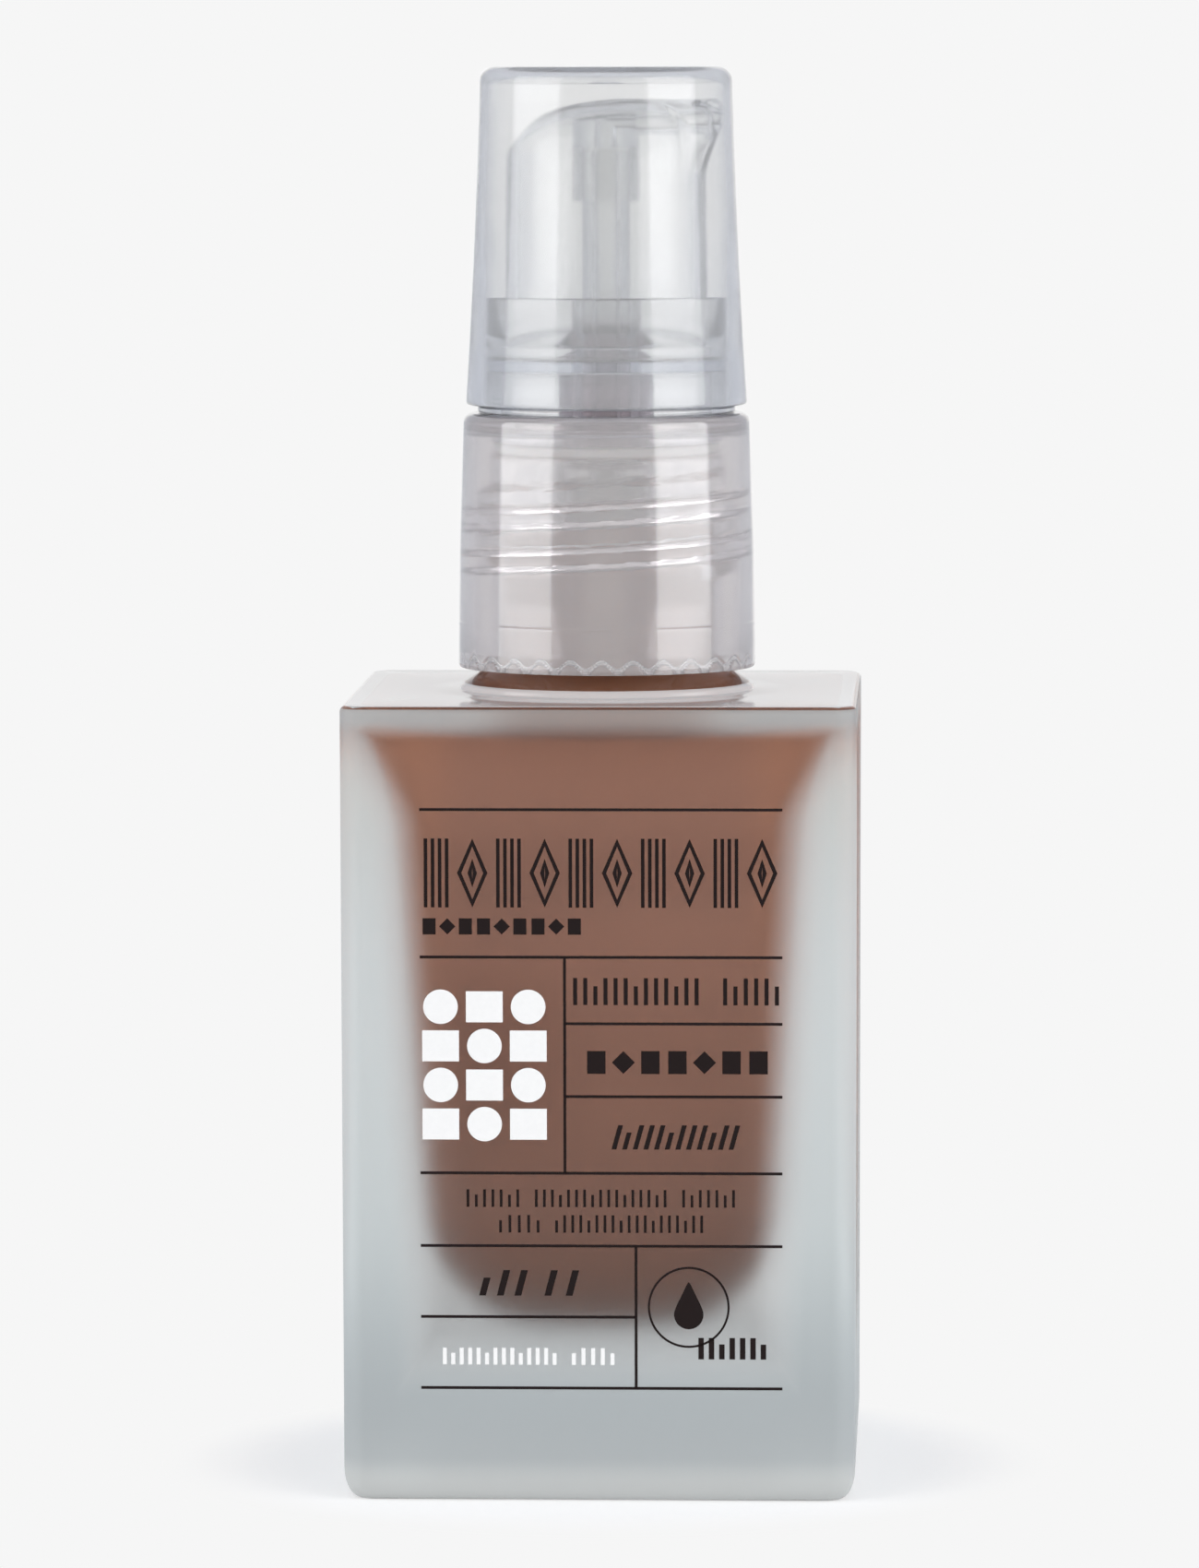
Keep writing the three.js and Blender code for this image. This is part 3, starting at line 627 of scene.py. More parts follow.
def cavity_rings(spread):
    """The cavity from its ceiling down to its rounded floor, moved outwards by spread."""
    bowl_height, bowl_inset = BOWL_TOP - CAVITY_FLOOR, 9
    bow = 1.2
    rings = [square_ring(9, 5, CAVITY_TOP + spread), bowed(square_ring(13, 5, CAVITY_TOP + spread), bow / 2)]
    for z in [CAVITY_TOP, *np.linspace(56.6, CAVITY_FLARE, 14), *np.linspace(48, BOWL_TOP, 12)]:
        lift = spread if z == CAVITY_TOP else 0
        share = np.clip((z - CAVITY_FLARE) / (CAVITY_TOP - CAVITY_FLARE), 0, 1)
        ring = square_ring(cavity_half(z) + spread, cavity_corner(z), z + lift)
        rings.append(bowed(ring, bow * share**2))
    for a in reversed(quarter(14, 3, 88)):
        z = BOWL_TOP - bowl_height * math.cos(a) - spread
        inset = bowl_inset * (1 - math.sin(a))
        rings.append(square_ring(cavity_half(BOWL_TOP) + spread - inset, BOWL_CORNER - 0.35 * inset, z))
    rings.append(square_ring(1.2, 0.6, CAVITY_FLOOR - spread))
    return rings


def glass_bottle():
    """The bottle: etched outside, clear in the cavity and the neck, and hazy on the shoulder's flat."""
    heel_top, wall_depth = 3, 1.9
    etched_top = SHOULDER_Z - 0.25
    flat_low, flat_high, flat_radius = SHOULDER_Z - 0.03, SHOULDER_Z + 0.5, 10.72
    piece = skin("bottle_glass", body_rings() + neck_rings() + cavity_rings(0), sharp=30)
    install(piece, "glass_bottle", "bottle", "frosted_glass", GLASS_FROSTED, GLASS_CLEAR, GLASS_SHOULDER)
    for face in piece.data.polygons:
        x, y, z = face.center / MM
        outside = max(abs(x), abs(y)) > body_half(z) - wall_depth
        face.material_index = 1
        if z < heel_top or (outside and z < etched_top):
            face.material_index = 0
        elif flat_low <= z < flat_high and math.hypot(x, y) > flat_radius:
            face.material_index = 2
    return piece


def foundation():
    """The filling, with a hole for the pump. It reaches a hair into the glass, so that no air is between."""
    wetting, gap = 0.02, 0.3
    top = FILL_HIGH.z
    cage_top, socket_top, tube_top = CAGE_TOP - 0.6, SOCKET_TOP - 0.6, CHAMBER_LOW.z - 0.6
    hole = flare_points(wetting)[::-1]
    hole += [(NECK_BORE + wetting, top - 0.2), (NECK_BORE - 0.15, top), (BARREL_RADIUS + 0.45, top)]
    hole += [(BARREL_RADIUS + gap, top - 0.15), (BARREL_RADIUS + gap, cage_top)]
    hole += [(CAGE_RADIUS + gap, cage_top), (CAGE_RADIUS + gap, socket_top)]
    hole += [(SOCKET_RADIUS + gap, socket_top), (SOCKET_RADIUS + gap, tube_top)]
    hole += [(TUBE_HIGH.x + gap, tube_top), (TUBE_HIGH.x + gap, TUBE_LOW.z - 0.2)]
    column = [round_ring(radius, z) for radius, z in hole]
    piece = skin("foundation_filling_cream", cavity_rings(wetting)[::-1] + column, sharp=40)
    return install(piece, "foundation_filling", "bottle", "liquid_foundation", CREAM)


# ---- closure and pump


def scallop(angle):
    """The height of the wavy bead inside the closure's mouth."""
    return 61.32 + 0.32 * np.cos(28 * angle)


def screw_closure():
    """The closure, with its inner thread, a fine ridge round its foot and a wavy bead in its mouth."""
    bottom, top = CLOSURE_LOW.z, CLOSURE_HIGH.z
    foot = CLOSURE_HIGH.x
    bore = NECK_RADIUS + THREAD_REACH + 0.3
    mouth = bore + 0.05
    fluted = mouth + 0.12
    deck_underside, deck_hole = 78.55, 7.0
    outline = [(foot - 0.12, bottom, 0.1), (foot, bottom + 0.25), (foot - 0.003, bottom + 0.4)]
    for inset, z in ((0.039, 63.9), (0.04, 64.0), (0.075, 64.08), (0.05, 64.16), (0.051, 64.26)):
        outline.append((foot - inset, z))
    outline += [
        (11.1, 69.5),
        (10.93, 75),
        (10.76, top, 0.7),
        (deck_hole, top, 0.15),
        (deck_hole, deck_underside, 0.15),
        (bore, deck_underside, 0.5),
        *stretch(bore, deck_underside - 0.8, 66),
        (bore, 62.3),
        *stretch(fluted, 61.9, 60.86, 0.05),
        (mouth + 0.3, bottom),
    ]

    def shape(radius, z, angles):
        if radius == bore:
            top_end = THREAD_START - THREAD_PITCH / 2
            return radius - THREAD_REACH * ridge(z, angles, top_end, turns=1.5, root=1.9, crest=0.7)
        if radius == fluted:
            wave = scallop(angles)
            bead = 0.26 * np.exp(-(((z - wave) / 0.13) ** 2))
            return radius + 0.18 * np.clip((wave - z) / 0.1, 0, 1) - bead
        return radius

    piece = lathe("screw_closure_cap", outline, 336, shape, sharp=45)
    install(piece, "screw_closure", "closure", "natural_plastic", CLOSURE_PLASTIC, SCALLOP_PAINTED_GLINT)
    # The bead's faces take the whiter plastic as a painted glint.
    for face in piece.data.polygons:
        x, y, z = face.center / MM
        on_bead = abs(z - scallop(math.atan2(y, x))) < 0.11 and math.hypot(x, y) < fluted - 0.01
        face.material_index = int(on_bead)
    return piece


def chaplet():
    """The stem's guide, with its deck, and the collar that the overcap snaps onto."""
    bottom, top = CHAPLET_LOW.z, CHAPLET_HIGH.z
    collar, inside = 9.07, 7.95
    deck_bottom, deck_top = 83.1, 83.9
    bore, guide, hub, sleeve = STEM_HIGH.x + 0.08, 3.21, 3.6, 2.6
    shelf, flange_bottom, sleeve_top = 78.45, bottom + 4.49, 88.3
    flange_top = CAP_LOW.z - 0.1
    outline = [(bore, bottom, 0.15), (guide, bottom, 0.3), (guide, shelf), (hub, shelf + 0.1, 0.05)]
    outline += [(hub, deck_bottom, 0.3), (inside, deck_bottom, 0.2), (inside, flange_bottom, 0.1)]
    outline += [(CHAPLET_HIGH.x, flange_bottom, 0.1), (CHAPLET_HIGH.x, flange_top, 0.12)]
    outline += [(collar, flange_top, 0.1), (collar, SNAP_Z - 0.3), (collar + 0.12, SNAP_Z)]
    outline += [(collar, SNAP_Z + 0.3), (collar, top, 0.3), (inside, top, 0.2), (inside, deck_top, 0.5)]
    outline += [(hub, deck_top, 0.3)]
    outline += [(sleeve, deck_top + 1.1, 0.3), (sleeve, sleeve_top, 0.2), (bore, sleeve_top, 0.1)]
    piece = lathe("chaplet_guide", outline, 128, sharp=40)
    install(piece, "chaplet", "pump_core", "natural_plastic", PUMP_PLASTIC, HUB_PLASTIC)
    for face in piece.data.polygons:
        face.material_index = int(face.center.xy.length < (hub + 0.9) * MM)
    return piece


def gasket():
    """The flat ring on the neck's rim."""
    bore, outside = 4.4, GASKET_HIGH.x
    bottom, top = GASKET_LOW.z, GASKET_HIGH.z
    outline = [(bore, bottom, 0.15), (outside, bottom, 0.2), (outside, top, 0.2), (bore, top, 0.15)]
    piece = lathe("gasket_ring", outline, 96)
    return install(piece, "neck_gasket", "pump_core", "seal_plastic", SEAL)


def pump_chamber():
    """The chamber with its flange, and below it the ball's cage and seat and the dip tube's socket."""
    bore, tube_bore, seat_bore, throat = 3.25, 1.75, 0.9, 1.25
    seat_top, seat_bottom, cage_floor = SOCKET_TOP - 0.5, 50.4, 52.4
    top, bottom, flange = CHAMBER_HIGH.z, CHAMBER_LOW.z, CHAMBER_HIGH.x
    outline = [(bore, top, 0.1), (flange, top, 0.2), (flange, top - 1, 0.2), (BARREL_RADIUS, top - 1, 0.3)]
    outline += [(BARREL_RADIUS, CAGE_TOP, 0.15), (CAGE_RADIUS, CAGE_TOP - 0.6, 0.3)]
    outline += [(CAGE_RADIUS, SOCKET_TOP, 0.15), (SOCKET_RADIUS, seat_top, 0.1), (SOCKET_RADIUS, bottom, 0.2)]
    outline += [(tube_bore, bottom, 0.15), (tube_bore, seat_bottom, 0.1), (seat_bore, seat_bottom, 0.1)]
    outline += [(seat_bore, seat_top, 0.1), (tube_bore, cage_floor, 0.2), (tube_bore, CAGE_TOP - 0.8, 0.1)]
    outline += [(throat, CAGE_TOP - 0.6, 0.06), (throat, CAGE_TOP - 0.2, 0.1), (bore, CAGE_TOP - 0.2, 0.2)]
    piece = lathe("chamber_housing", outline, 96)
    return install(piece, "pump_chamber", "pump_core", "natural_plastic", PUMP_PLASTIC)


def dip_tube():
    """The dip tube. Its lower end is cut on a slant, which the rings near it follow."""
    bore, radius = 1.15, TUBE_HIGH.x
    slant = math.tan(math.radians(30))
    angles = whole_turn(48)

    def ring(at, z):
        return np.stack([at * np.cos(angles), at * np.sin(angles), z], axis=1)

    level = np.full_like(angles, TUBE_HIGH.z)
    cut = TUBE_LOW.z + radius * slant
    rings = [ring(radius, cut - radius * slant * np.cos(angles)), ring(radius, level - 0.1)]
    rings += [ring(radius - 0.1, level), ring(bore, level), ring(bore, cut - bore * slant * np.cos(angles))]
    piece = skin("dip_tube_straw", rings, closed=True)
    return install(piece, "dip_tube", "pump_core", "natural_plastic", PUMP_PLASTIC)


def inlet_ball():
    """The steel ball of the inlet valve."""
    radius = BALL_HIGH.x
    middle = (BALL_LOW.z + BALL_HIGH.z) / 2
    tilts = np.radians(np.linspace(-89, 89, 25))
    rings = [round_ring(radius * math.cos(a), middle + radius * math.sin(a), whole_turn(48)) for a in tilts]
    piece = skin("ball_bearing", rings, sharp=60)
    return install(piece, "inlet_ball", "ball", "spring_steel", STEEL)


def pump_stem():
    """The hollow stem, thinner where the piston seal slides on it."""
    bore, radius = 0.8, STEM_HIGH.x
    neck, neck_top = radius - 0.35, SEAL_HIGH.z + 0.8
    bottom, top = STEM_LOW.z, STEM_HIGH.z
    outline = [(bore, bottom, 0.1), (neck, bottom, 0.2), (neck, neck_top), (radius, neck_top, 0.1)]
    outline += [(radius, top, 0.25), (bore, top, 0.1)]
    piece = lathe("stem_tube", outline, 64)
    return install(piece, "pump_stem", "plunger", "natural_plastic", PUMP_PLASTIC)


def valve_plug():
    """The plug at the stem's end, with the shank that is pressed into the stem."""
    shank, point, head = 0.75, 0.45, PLUG_HIGH.x
    bottom, top, head_top = PLUG_LOW.z, PLUG_HIGH.z, SEAL_LOW.z - 0.05
    outline = [(0, bottom), (head, bottom, 0.2), (head, head_top - 0.4, 0.15), (head - 0.45, head_top, 0.15)]
    outline += [(shank, head_top, 0.15), (shank, top - 0.4, 0.15), (point, top, 0.1), (0, top)]
    piece = lathe("plug_valve", outline, 64)
    return install(piece, "valve_plug", "plunger", "seal_plastic", SEAL)


def piston_seal():
    """The sliding seal: a waisted sleeve with a lip at each end."""
    lip, bore = SEAL_HIGH.x, 1.51
    waist = lip - 0.45
    bottom, top = SEAL_LOW.z, SEAL_HIGH.z
    outline = [(bore, bottom, 0.05), (lip - 0.3, bottom, 0.08), (lip, bottom + 0.1, 0.05)]
    outline += [(waist, bottom + 0.7, 0.2), (waist, top - 0.8, 0.2), (lip, top, 0.04)]
    outline += [(lip - 0.35, top, 0.08), (bore + 0.6, top - 0.6, 0.1), (bore, top - 0.2, 0.05)]
    piece = lathe("piston_cup", outline, 72)
    return install(piece, "piston_seal", "piston", "seal_plastic", SEAL)


def return_spring():
    """A compression spring with a closed coil at each end."""
    wire = 0.28
    radius = SPRING_HIGH.x - wire
    bottom, top = SPRING_LOW.z + wire, SPRING_HIGH.z - wire
    turns, per_turn = 7, 32
    closed_pitch = 2.15 * wire
    open_pitch = (top - bottom - 2 * closed_pitch) / (turns - 2)
    up = np.array((0, 0, 1))
    rings = []
    for i in range(turns * per_turn + 1):
        turn = i / per_turn
        coiled_open = min(max(turn - 1, 0), turns - 2)
        z = top - coiled_open * open_pitch - (turn - coiled_open) * closed_pitch
        a = -turn * 2 * math.pi
        out = np.array((math.cos(a), math.sin(a), 0))
        centre = radius * out + z * up
        section = [wire * (math.cos(s) * out + math.sin(s) * up) for s in whole_turn(10)]
        rings.append(centre + np.array(section))
    piece = skin("spring_coil", rings, sharp=60)
    install(piece, "return_spring", "pump_core", "spring_steel", STEEL)
    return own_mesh(piece)


# ---- pump head

HEAD_WALL = 0.9
HEAD_TOP = 103.5
HEAD_EDGE = 3.6
CHANNEL_Z = 101.95
BEAK_FROM = 97.6


def head_stations(inset):
    """Matching points up the plain side of the head and up its beak, as (distance from the axis, height)."""
    foot, upper = 7.6 - inset, 7.5 - inset
    top, edge, tip = HEAD_TOP - inset, HEAD_EDGE - inset, HEAD_HIGH.x - inset
    side_top, flat = top - edge, upper - edge
    plain, beak = [], []
    for z in np.linspace(HEAD_LOW.z, BEAK_FROM, 10):
        radius = foot + (upper - foot) * (z - HEAD_LOW.z) / (side_top - HEAD_LOW.z)
        plain.append((radius, z))
        beak.append((radius, z))
    for t in np.linspace(0.1, 1, 10):
        plain.append((upper, BEAK_FROM + (side_top - BEAK_FROM) * t))
        beak.append((upper + (tip - upper) * t**1.3, BEAK_FROM + (top - 2.2 - BEAK_FROM) * t))
    for a in quarter(6, 5, 45):
        t = (math.degrees(a) - 5) / 40
        plain.append((flat + edge * math.cos(a), side_top + edge * math.sin(a)))
        beak.append((tip - 0.25 * max(0, 4 * t - 3) ** 2, top - 2.1 + 2.0 * t))
    for a in quarter(7, 51, 90):
        t = (math.degrees(a) - 51) / 39
        plain.append((flat + edge * math.cos(a), side_top + edge * math.sin(a)))
        beak.append((tip - 0.4 + (flat - tip + 0.4) * t, top - 0.03 * (1 - t)))
    for share in (0.75, 0.5, 0.25, 0.1):
        plain.append((flat * share, top))
        beak.append((flat * share, top))
    return plain, beak


def head_rings(inset, bottom):
    """The head as rings: a dome that grows a flat-tipped beak towards +X and falls a little at the back."""
    narrow, wide = 14.5, 34  # degrees: the beak's half-width where it is flat, and where it meets the dome
    fall_from = 97
    angles = whole_turn(160, -math.pi)
    away = np.abs(np.degrees(angles))
    blend = np.clip((wide - away) / (wide - narrow), 0, 1)
    flat_tip = 1 / np.cos(np.radians(np.minimum(away, narrow)))
    rings = []
    for (radius, z), (reach, beak_z) in zip(*head_stations(inset)):
        out = reach * (1 + (flat_tip - 1) * min(1, max(0, (reach - 6) / 2)))
        ring = round_ring(radius + (out - radius) * blend, z + (beak_z - z) * blend, angles)
        share = np.clip((ring[:, 2] - fall_from) / (HEAD_TOP - fall_from), 0, 1)
        ring[:, 2] -= 0.025 * np.minimum(ring[:, 0] - 2, 0) ** 2 * share * share * (3 - 2 * share)
        rings.append(ring)
    if bottom < HEAD_LOW.z:
        rings[0][:, 2] = bottom
    return rings


def rod(name, radius, start, end, sides=48):
    """A plain cylinder along Z, for joining and cutting."""
    return skin(name, [round_ring(radius, z, whole_turn(sides)) for z in (start, end)])


def lying_rod(name, radius, start, end, z):
    """A plain cylinder along X, for joining and cutting."""
    piece = rod(name, radius, start, end)
    piece.data.transform(Matrix.Translation((0, 0, z * MM)) @ Matrix.Rotation(math.pi / 2, 4, "Y"))
    return piece


def upright_slab(name, outline, thickness):
    """A flat plate in the XZ plane, from its outline."""
    rings = [np.array([(x, y, z) for x, z in outline]) for y in (-thickness / 2, thickness / 2)]
    return skin(name, rings)


def pump_head():
    """The head: a hollow dome, with a boss for the stem, a rib and a channel to the nozzle."""
    boss_radius, boss_bottom = 2.5, 95.7
    rib_bottom, rib_end = 98.9, 6.4
    channel = 0.6
    tip = HEAD_HIGH.x
    stem_radius, stem_top = STEM_HIGH.x + 0.05, STEM_HIGH.z
    piece = skin("pump_head_actuator", head_rings(0, HEAD_LOW.z), sharp=40)
    boolean(piece, skin("hollow", head_rings(HEAD_WALL, HEAD_LOW.z - 1)), "DIFFERENCE")
    rib = [(boss_radius - 0.4, rib_bottom), (boss_radius, rib_bottom), (rib_end, CHANNEL_Z - channel - 0.3)]
    rib += [(rib_end, CHANNEL_Z), (boss_radius - 0.4, CHANNEL_Z)]
    boolean(piece, upright_slab("rib", rib, 1), "UNION")
    boolean(piece, rod("boss", boss_radius, boss_bottom, HEAD_TOP - 0.5), "UNION")
    boolean(piece, lying_rod("channel_wall", channel + 0.6, 0.5, tip - 0.5, CHANNEL_Z - 0.1), "UNION")
    boolean(piece, rod("stem_bore", stem_radius, boss_bottom - 1, stem_top + 0.15), "DIFFERENCE")
    boolean(piece, rod("riser", channel, stem_top, CHANNEL_Z), "DIFFERENCE")
    boolean(piece, lying_rod("channel", channel, 0, tip + 1, CHANNEL_Z), "DIFFERENCE")
    piece.data.shade_smooth()
    piece.data.set_sharp_from_angle(angle=math.radians(35))
    return install(piece, "pump_head", "head", "natural_plastic", PUMP_PLASTIC)


# ---- overcap


def cap_radius(z):
    """The overcap's outside: nearly upright at the top, flaring a little towards its rim."""
    down = CAP_HIGH.z - 1 - z
    return 9.47 + 0.028 * down + 0.00075 * down**2


def overcap():
    """The overcap, with a dimpled top, a gate mark under it and a snap bead inside its rim."""
    wall = 0.6
    top, bottom = CAP_HIGH.z, CAP_LOW.z
    inside, collar_top = top - wall, CHAPLET_HIGH.z
    snap = 9.27
    outline = [(snap, bottom, 0.15), (cap_radius(bottom), bottom, 0.25)]
    outline += [(cap_radius(z), z) for z in np.linspace(bottom + 0.6, top - 2, 14)]
    outline += [(cap_radius(top - 1), top, 1.1), (6, top), (2.2, top), (1.5, top - 0.06), (0, top - 0.08)]
    outline += [(0, inside - 0.3), (1.1, inside - 0.27, 0.1), (1.5, inside, 0.1)]
    outline += [(cap_radius(inside) - wall, inside, 0.8)]
    outline += [(cap_radius(z) - wall, z) for z in np.linspace(top - 3, 95, 8)]
    outline += [(snap - 0.1, collar_top + 0.5), (snap, collar_top - 0.1, 0.05)]
    outline += [(snap, SNAP_Z + 0.5), (snap - 0.02, SNAP_Z), (snap, SNAP_Z - 0.5)]
    piece = lathe("overcap_shell", outline, 144, sharp=40)
    return install(piece, "overcap", "cap", "clear_plastic", CAP_PLASTIC)


# ---- front print


class Print:
    """Flat marks on the front face, each a thin raised solid, gathered into one mesh. Places are (x, z)."""

    THICKNESS = 0.02
    SUNK = 0.01

    def __init__(self):
        self.points = []
        self.faces = []

    def lay(self, outline, raised):
        """Adds the points of an outline on the face, or just under it."""
        first = len(self.points)
        depth = self.THICKNESS if raised else -self.SUNK
        for x, z in outline:
            self.points.append((x * MM, -(body_half(z) + depth) * MM, z * MM))
        return list(range(first, len(self.points)))

    def plate(self, outline):
        """A filled shape."""
        front, back = self.lay(outline, True), self.lay(outline, False)
        self.faces += [front, back[::-1]]
        for i in range(len(outline)):
            j = (i + 1) % len(outline)
            self.faces.append((front[i], back[i], back[j], front[j]))

    def band(self, outer, inner):
        """The space between two outlines of as many points."""
        rings = [self.lay(outer, True), self.lay(inner, True), self.lay(inner, False), self.lay(outer, False)]
        for a, b in zip(rings, rings[1:] + rings[:1]):
            for i in range(len(outer)):
                j = (i + 1) % len(outer)
                self.faces.append((a[i], a[j], b[j], b[i]))

    def bar(self, x0, z0, x1, z1):
        self.plate([(x0, z0), (x1, z0), (x1, z1), (x0, z1)])

    def leaning_bar(self, x, z0, z1, width, lean):
        self.plate([(x, z0), (x + width, z0), (x + width + lean, z1), (x + lean, z1)])

    def piece(self, name, material):
        mesh = bpy.data.meshes.new(name)
        mesh.from_pydata(self.points, [], self.faces)
        made = finish_mesh(name, mesh, sharp=20)
        return install(made, None, "bottle", "frosted_glass", material)


def circle(x, z, radius, sides):
    return [(x + radius * math.cos(a), z + radius * math.sin(a)) for a in whole_turn(sides)]


def rhombus(x, z, half_width, half_height):
    return [(x - half_width, z), (x, z - half_height), (x + half_width, z), (x, z + half_height)]


LEFT, RIGHT = -13.1, 13.6
UPPER_DIVIDER, LOWER_DIVIDER = -2.43, 2.8
RULE = 0.21
UPPER_BOX_TOP, UPPER_BOX_BOTTOM = 40.53, 24.52
LOWER_BOX_TOP, LOWER_BOX_BOTTOM = 19.11, 8.52


def rules(ink_layer):
    """The ruled table that divides the panel."""
    whole = (51.43, UPPER_BOX_TOP, UPPER_BOX_BOTTOM, LOWER_BOX_TOP, LOWER_BOX_BOTTOM)
    level = [(z, LEFT, RIGHT) for z in whole]
    level += [(35.61, UPPER_DIVIDER, RIGHT), (30.21, UPPER_DIVIDER, RIGHT), (13.82, LEFT, LOWER_DIVIDER)]
    for z, start, end in level:
        ink_layer.bar(start, z - RULE / 2, end, z + RULE / 2)
    ink_layer.bar(UPPER_DIVIDER - RULE / 2, UPPER_BOX_BOTTOM, UPPER_DIVIDER + RULE / 2, UPPER_BOX_TOP)
    ink_layer.bar(LOWER_DIVIDER - RULE / 2, LOWER_BOX_BOTTOM, LOWER_DIVIDER + RULE / 2, LOWER_BOX_TOP)


def inline_frieze(ink_layer, x0, x1, z0, z1):
    """A wide frieze of double-line diamonds and sets of four bars."""
    line, gap = 0.26, 0.26
    cells = 10
    pitch = (x1 - x0) / cells
    middle, half = (z0 + z1) / 2, (z1 - z0) / 2
    for i in range(cells):
        x = x0 + (i + 0.5) * pitch
        if i % 2 == 0:
            for offset in (-1.5, -0.5, 0.5, 1.5):
                start = x + offset * (line + gap) - line / 2
                ink_layer.bar(start, z0, start + line, z1)
            continue
        for inset in (0, 1.5 * (line + gap)):
            half_width, half_height = pitch * 0.42 - inset, half - inset * 1.9
            inner = rhombus(x, middle, half_width - line * 1.2, half_height - line * 2.3)
            ink_layer.band(rhombus(x, middle, half_width, half_height), inner)


def beads(ink_layer, x0, x1, z0, z1, spacing):
    """A row of small solid squares and diamonds."""
    half = (z1 - z0) / 2
    count = round((x1 - x0) / (spacing * 2 * half))
    pitch = (x1 - x0 - 2 * half) / (count - 1)
    for i in range(count):
        x, z = x0 + half + i * pitch, z0 + half
        if i % 3 == 1:
            ink_layer.plate(rhombus(x, z, half, half))
        else:
            ink_layer.bar(x - half * 0.8, z - half, x + half * 0.8, z + half)


def strokes(ink_layer, x0, x1, z0, z1, words, line, lean=0.0, pitch=2.3):
    """Rows of upright or leaning strokes in groups, like a line of print seen from afar."""
    gap = (z1 - z0) * 0.9
    total = sum(words)
    room = x1 - x0 - gap * (len(words) - 1) - lean
    x = x0
    for length in words:
        width = room * length / total
        count = max(2, round(width / (line * pitch)))
        step = (width - line) / (count - 1)
        for i in range(count):
            short = (i * 7 + length) % 4 == 3
            top = z1 - (0.3 * (z1 - z0) if short else 0)
            ink_layer.leaning_bar(x + i * step, z0, top, line, lean * (top - z0) / (z1 - z0))
        x += width + gap


def emblem(ink_layer, x, z, radius):
    """A plain drop in a ring."""
    line = 0.16
    ink_layer.band(circle(x, z, radius, 72), circle(x, z, radius - line, 72))
    belly = radius * 0.36
    rise = radius * 0.62 - belly * 0.5
    outline = []
    for a in whole_turn(40):
        pull = max(0, math.sin(a)) ** 3
        across = belly * math.cos(a) * (1 - 0.55 * pull)
        outline.append((x + across, z + belly * (math.sin(a) - 0.5) + pull * rise))
    ink_layer.plate(outline)


def block_pattern(ink_layer, x0, x1, z0, z1, columns, rows):
    """Discs and blocks by turns, in columns and rows."""
    pitch_x, pitch_z = (x1 - x0) / columns, (z1 - z0) / rows
    disc, block_half = 1.28, 1.15
    for column in range(columns):
        for row in range(rows):
            x, z = x0 + (column + 0.5) * pitch_x, z0 + (row + 0.5) * pitch_z
            if (column + row) % 2:
                ink_layer.plate(circle(x, z, disc, 36))
            else:
                ink_layer.bar(x - pitch_x * 0.42, z - block_half, x + pitch_x * 0.42, z + block_half)


def front_print():
    """Black rules and generic marks, and a white block pattern."""
    black = Print()
    rules(black)
    inline_frieze(black, -13.2, 13.45, 44.2, 49.3)
    beads(black, -13.0, -1.1, 42.2, 43.4, 1.15)
    strokes(black, -1.8, 13.35, 37.0, 39.0, [9, 4], 0.3)
    beads(black, -0.95, 12.7, 31.9, 33.6, 1.12)
    strokes(black, 1.0, 10.5, 26.3, 28.1, [8], 0.36, lean=0.5, pitch=2.0)
    strokes(black, -9.7, 10.1, 22.0, 23.3, [4, 10, 4], 0.2, pitch=2.9)
    strokes(black, -7.3, 7.75, 20.1, 21.4, [3, 11], 0.2, pitch=2.9)
    strokes(black, -8.8, -1.4, 15.4, 17.3, [3, 2], 0.5, lean=0.5, pitch=1.9)
    emblem(black, 6.69, 14.57, 3.02)
    strokes(black, 7.4, 12.4, 10.7, 12.3, [5], 0.4, pitch=1.9)
    black.piece("front_print_black", BLACK_INK)
    white = Print()
    block_pattern(white, -13.2, -3.5, 26.7, 38.3, 3, 4)
    strokes(white, -11.5, 1.2, 10.25, 11.5, [8, 3], 0.3, pitch=2.0)
    white.piece("front_print_white", WHITE_INK)


# ---- stage


PALE = 0.922  # the linear brightness of the backdrop
PAPER_RETURNS = 0.755  # what the open floor's paper sends back of the light on it
WHITE = (1, 1, 1)
CLOTH = (PALE, PALE, PALE)
ROOM = (0.74, 0.755, 0.775)  # the room in front of the bottle
FLANK = (0.57, 0.59, 0.64)  # the room to either side of the backdrop


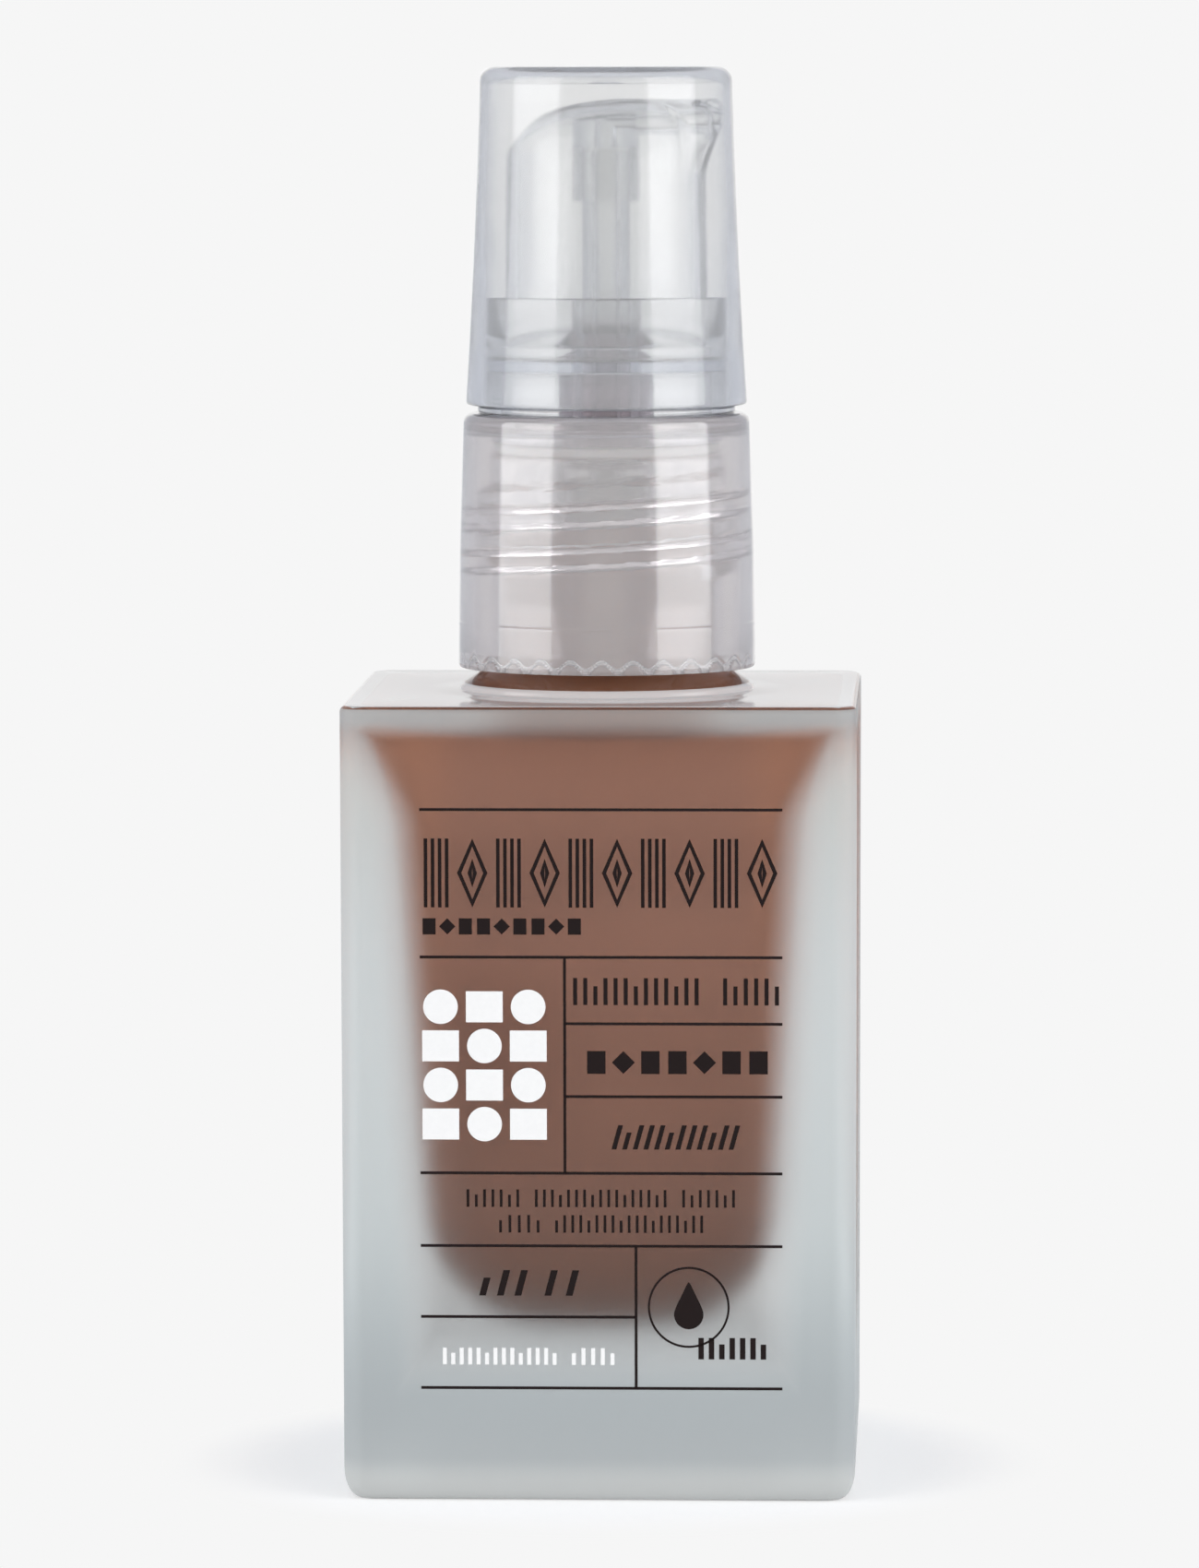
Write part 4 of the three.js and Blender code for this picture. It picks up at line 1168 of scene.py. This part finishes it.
def floor_paper():
    """Paper that takes shadow next to the bottle and is self-lit further out, where it is as pale as the
    backdrop behind the bottle and dimmer to the sides."""
    made = bpy.data.materials.new("floor_paper")
    made.use_nodes = True
    tree = made.node_tree
    tree.nodes.clear()
    parts = object_parts(tree)
    x, y = [maths(tree, "ABSOLUTE", parts[axis]) for axis in "XY"]
    away = maths(tree, "SQRT", maths(tree, "MULTIPLY_ADD", x, x, maths(tree, "MULTIPLY", y, y)))
    lit = maths(tree, "MULTIPLY", soft_step(tree, away, 34, 23), 0.85)
    missing = maths(tree, "SUBTRACT", PALE, maths(tree, "MULTIPLY", lit, PAPER_RETURNS))
    strength = maths(tree, "DIVIDE", missing, maths(tree, "SUBTRACT", 1, lit))
    beside = maths(tree, "MULTIPLY_ADD", y, -0.18, x)
    flank = tuple(channel / PALE for channel in FLANK)
    glow = added(tree, "Emission", Color=stepped(tree, beside, 0.08, 0.25, WHITE, flank), Strength=strength)
    paper = added(tree, "BsdfDiffuse", Color=mixed(tree, noise(tree, 900, 2), grey(0.86), grey(0.88)))
    mix = added(tree, "MixShader", Fac=lit)
    tree.links.new(glow.outputs["Emission"], mix.inputs[1])
    tree.links.new(paper.outputs["BSDF"], mix.inputs[2])
    added(tree, "OutputMaterial", Surface=mix.outputs["Shader"])
    return made


def stage_floor():
    """A plain pale floor that meets the backdrop without a horizon."""
    reach = 12
    corners = [(-reach, -reach, 0), (reach, -reach, 0), (reach, reach, 0), (-reach, reach, 0)]
    mesh = bpy.data.meshes.new("floor")
    mesh.from_pydata(corners, [], [(0, 1, 2, 3)])
    mesh.materials.append(floor_paper())
    floor = bpy.data.objects.new("floor", mesh)
    bpy.context.scene.collection.objects.link(floor)


def world():
    """A white backdrop behind the bottle, and a dimmer room beside it and in front of it."""
    scene = bpy.context.scene
    scene.view_settings.view_transform = "Standard"
    scene.cycles.max_bounces = 40
    scene.cycles.transmission_bounces = 40
    scene.cycles.glossy_bounces = 16
    scene.world = bpy.data.worlds.new("studio")
    scene.world.use_nodes = True
    tree = scene.world.node_tree
    backwards = added(tree, "SeparateXYZ", Vector=added(tree, "TexCoord").outputs["Generated"]).outputs["Y"]
    room = stepped(tree, backwards, -0.75, 0.1, ROOM, FLANK)
    room = stepped(tree, backwards, 0.91, 0.975, room, CLOTH)
    seen = added(tree, "LightPath").outputs["Is Camera Ray"]
    feed(tree, tree.nodes["Background"], Color=mixed(tree, seen, room, CLOTH))


def direction(azimuth, elevation):
    """The way from the bottle to a place round it, in radians."""
    level = math.cos(elevation)
    return Vector((math.sin(azimuth) * level, -math.cos(azimuth) * level, math.sin(elevation)))


def softbox(name, azimuth, elevation, distance, width, height, power):
    """A rectangular soft light that faces the bottle. Azimuth 0 is in front of it, and 90 on its +X side."""
    target = Vector((0, 0, 0.06))
    away = direction(math.radians(azimuth), math.radians(elevation))
    lamp = bpy.data.lights.new(name, "AREA")
    lamp.shape = "RECTANGLE"
    lamp.size = width
    lamp.size_y = height
    lamp.energy = power
    light = bpy.data.objects.new(name, lamp)
    light.location = target + away * distance
    light.rotation_euler = away.to_track_quat("Z", "Y").to_euler()
    light.visible_camera = False
    bpy.context.scene.collection.objects.link(light)


def camera():
    """A long lens, a little above the middle of the bottle."""
    azimuth, elevation, roll = math.radians(2.29), math.radians(4.90), math.radians(-0.112)
    target = Vector((-0.585, 0, 51.70)) * MM
    distance = 0.6417
    right = Vector((math.cos(azimuth), math.sin(azimuth), 0))
    back = direction(azimuth, elevation)
    up = back.cross(right)
    rolled_right = right * math.cos(roll) + up * math.sin(roll)
    rolled_up = up * math.cos(roll) - right * math.sin(roll)
    place = Matrix((rolled_right, rolled_up, back)).transposed().to_4x4()
    place.translation = target + back * distance
    lens = bpy.data.cameras.new("camera")
    lens.lens = 194.65
    lens.sensor_width = 36
    lens.clip_end = 100
    made = bpy.data.objects.new("camera", lens)
    made.matrix_world = place
    bpy.context.scene.collection.objects.link(made)
    bpy.context.scene.camera = made


# ---- the scene

camera()
world()
stage_floor()
softbox("left_softbox", -66, 12, distance=1, width=0.93, height=0.9, power=7.4)
softbox("right_softbox", 66, 12, distance=1, width=0.93, height=0.9, power=8.2)
glass_bottle()
foundation()
front_print()
screw_closure()
chaplet()
gasket()
pump_chamber()
dip_tube()
inlet_ball()
pump_stem()
valve_plug()
piston_seal()
return_spring()
pump_head()
overcap()
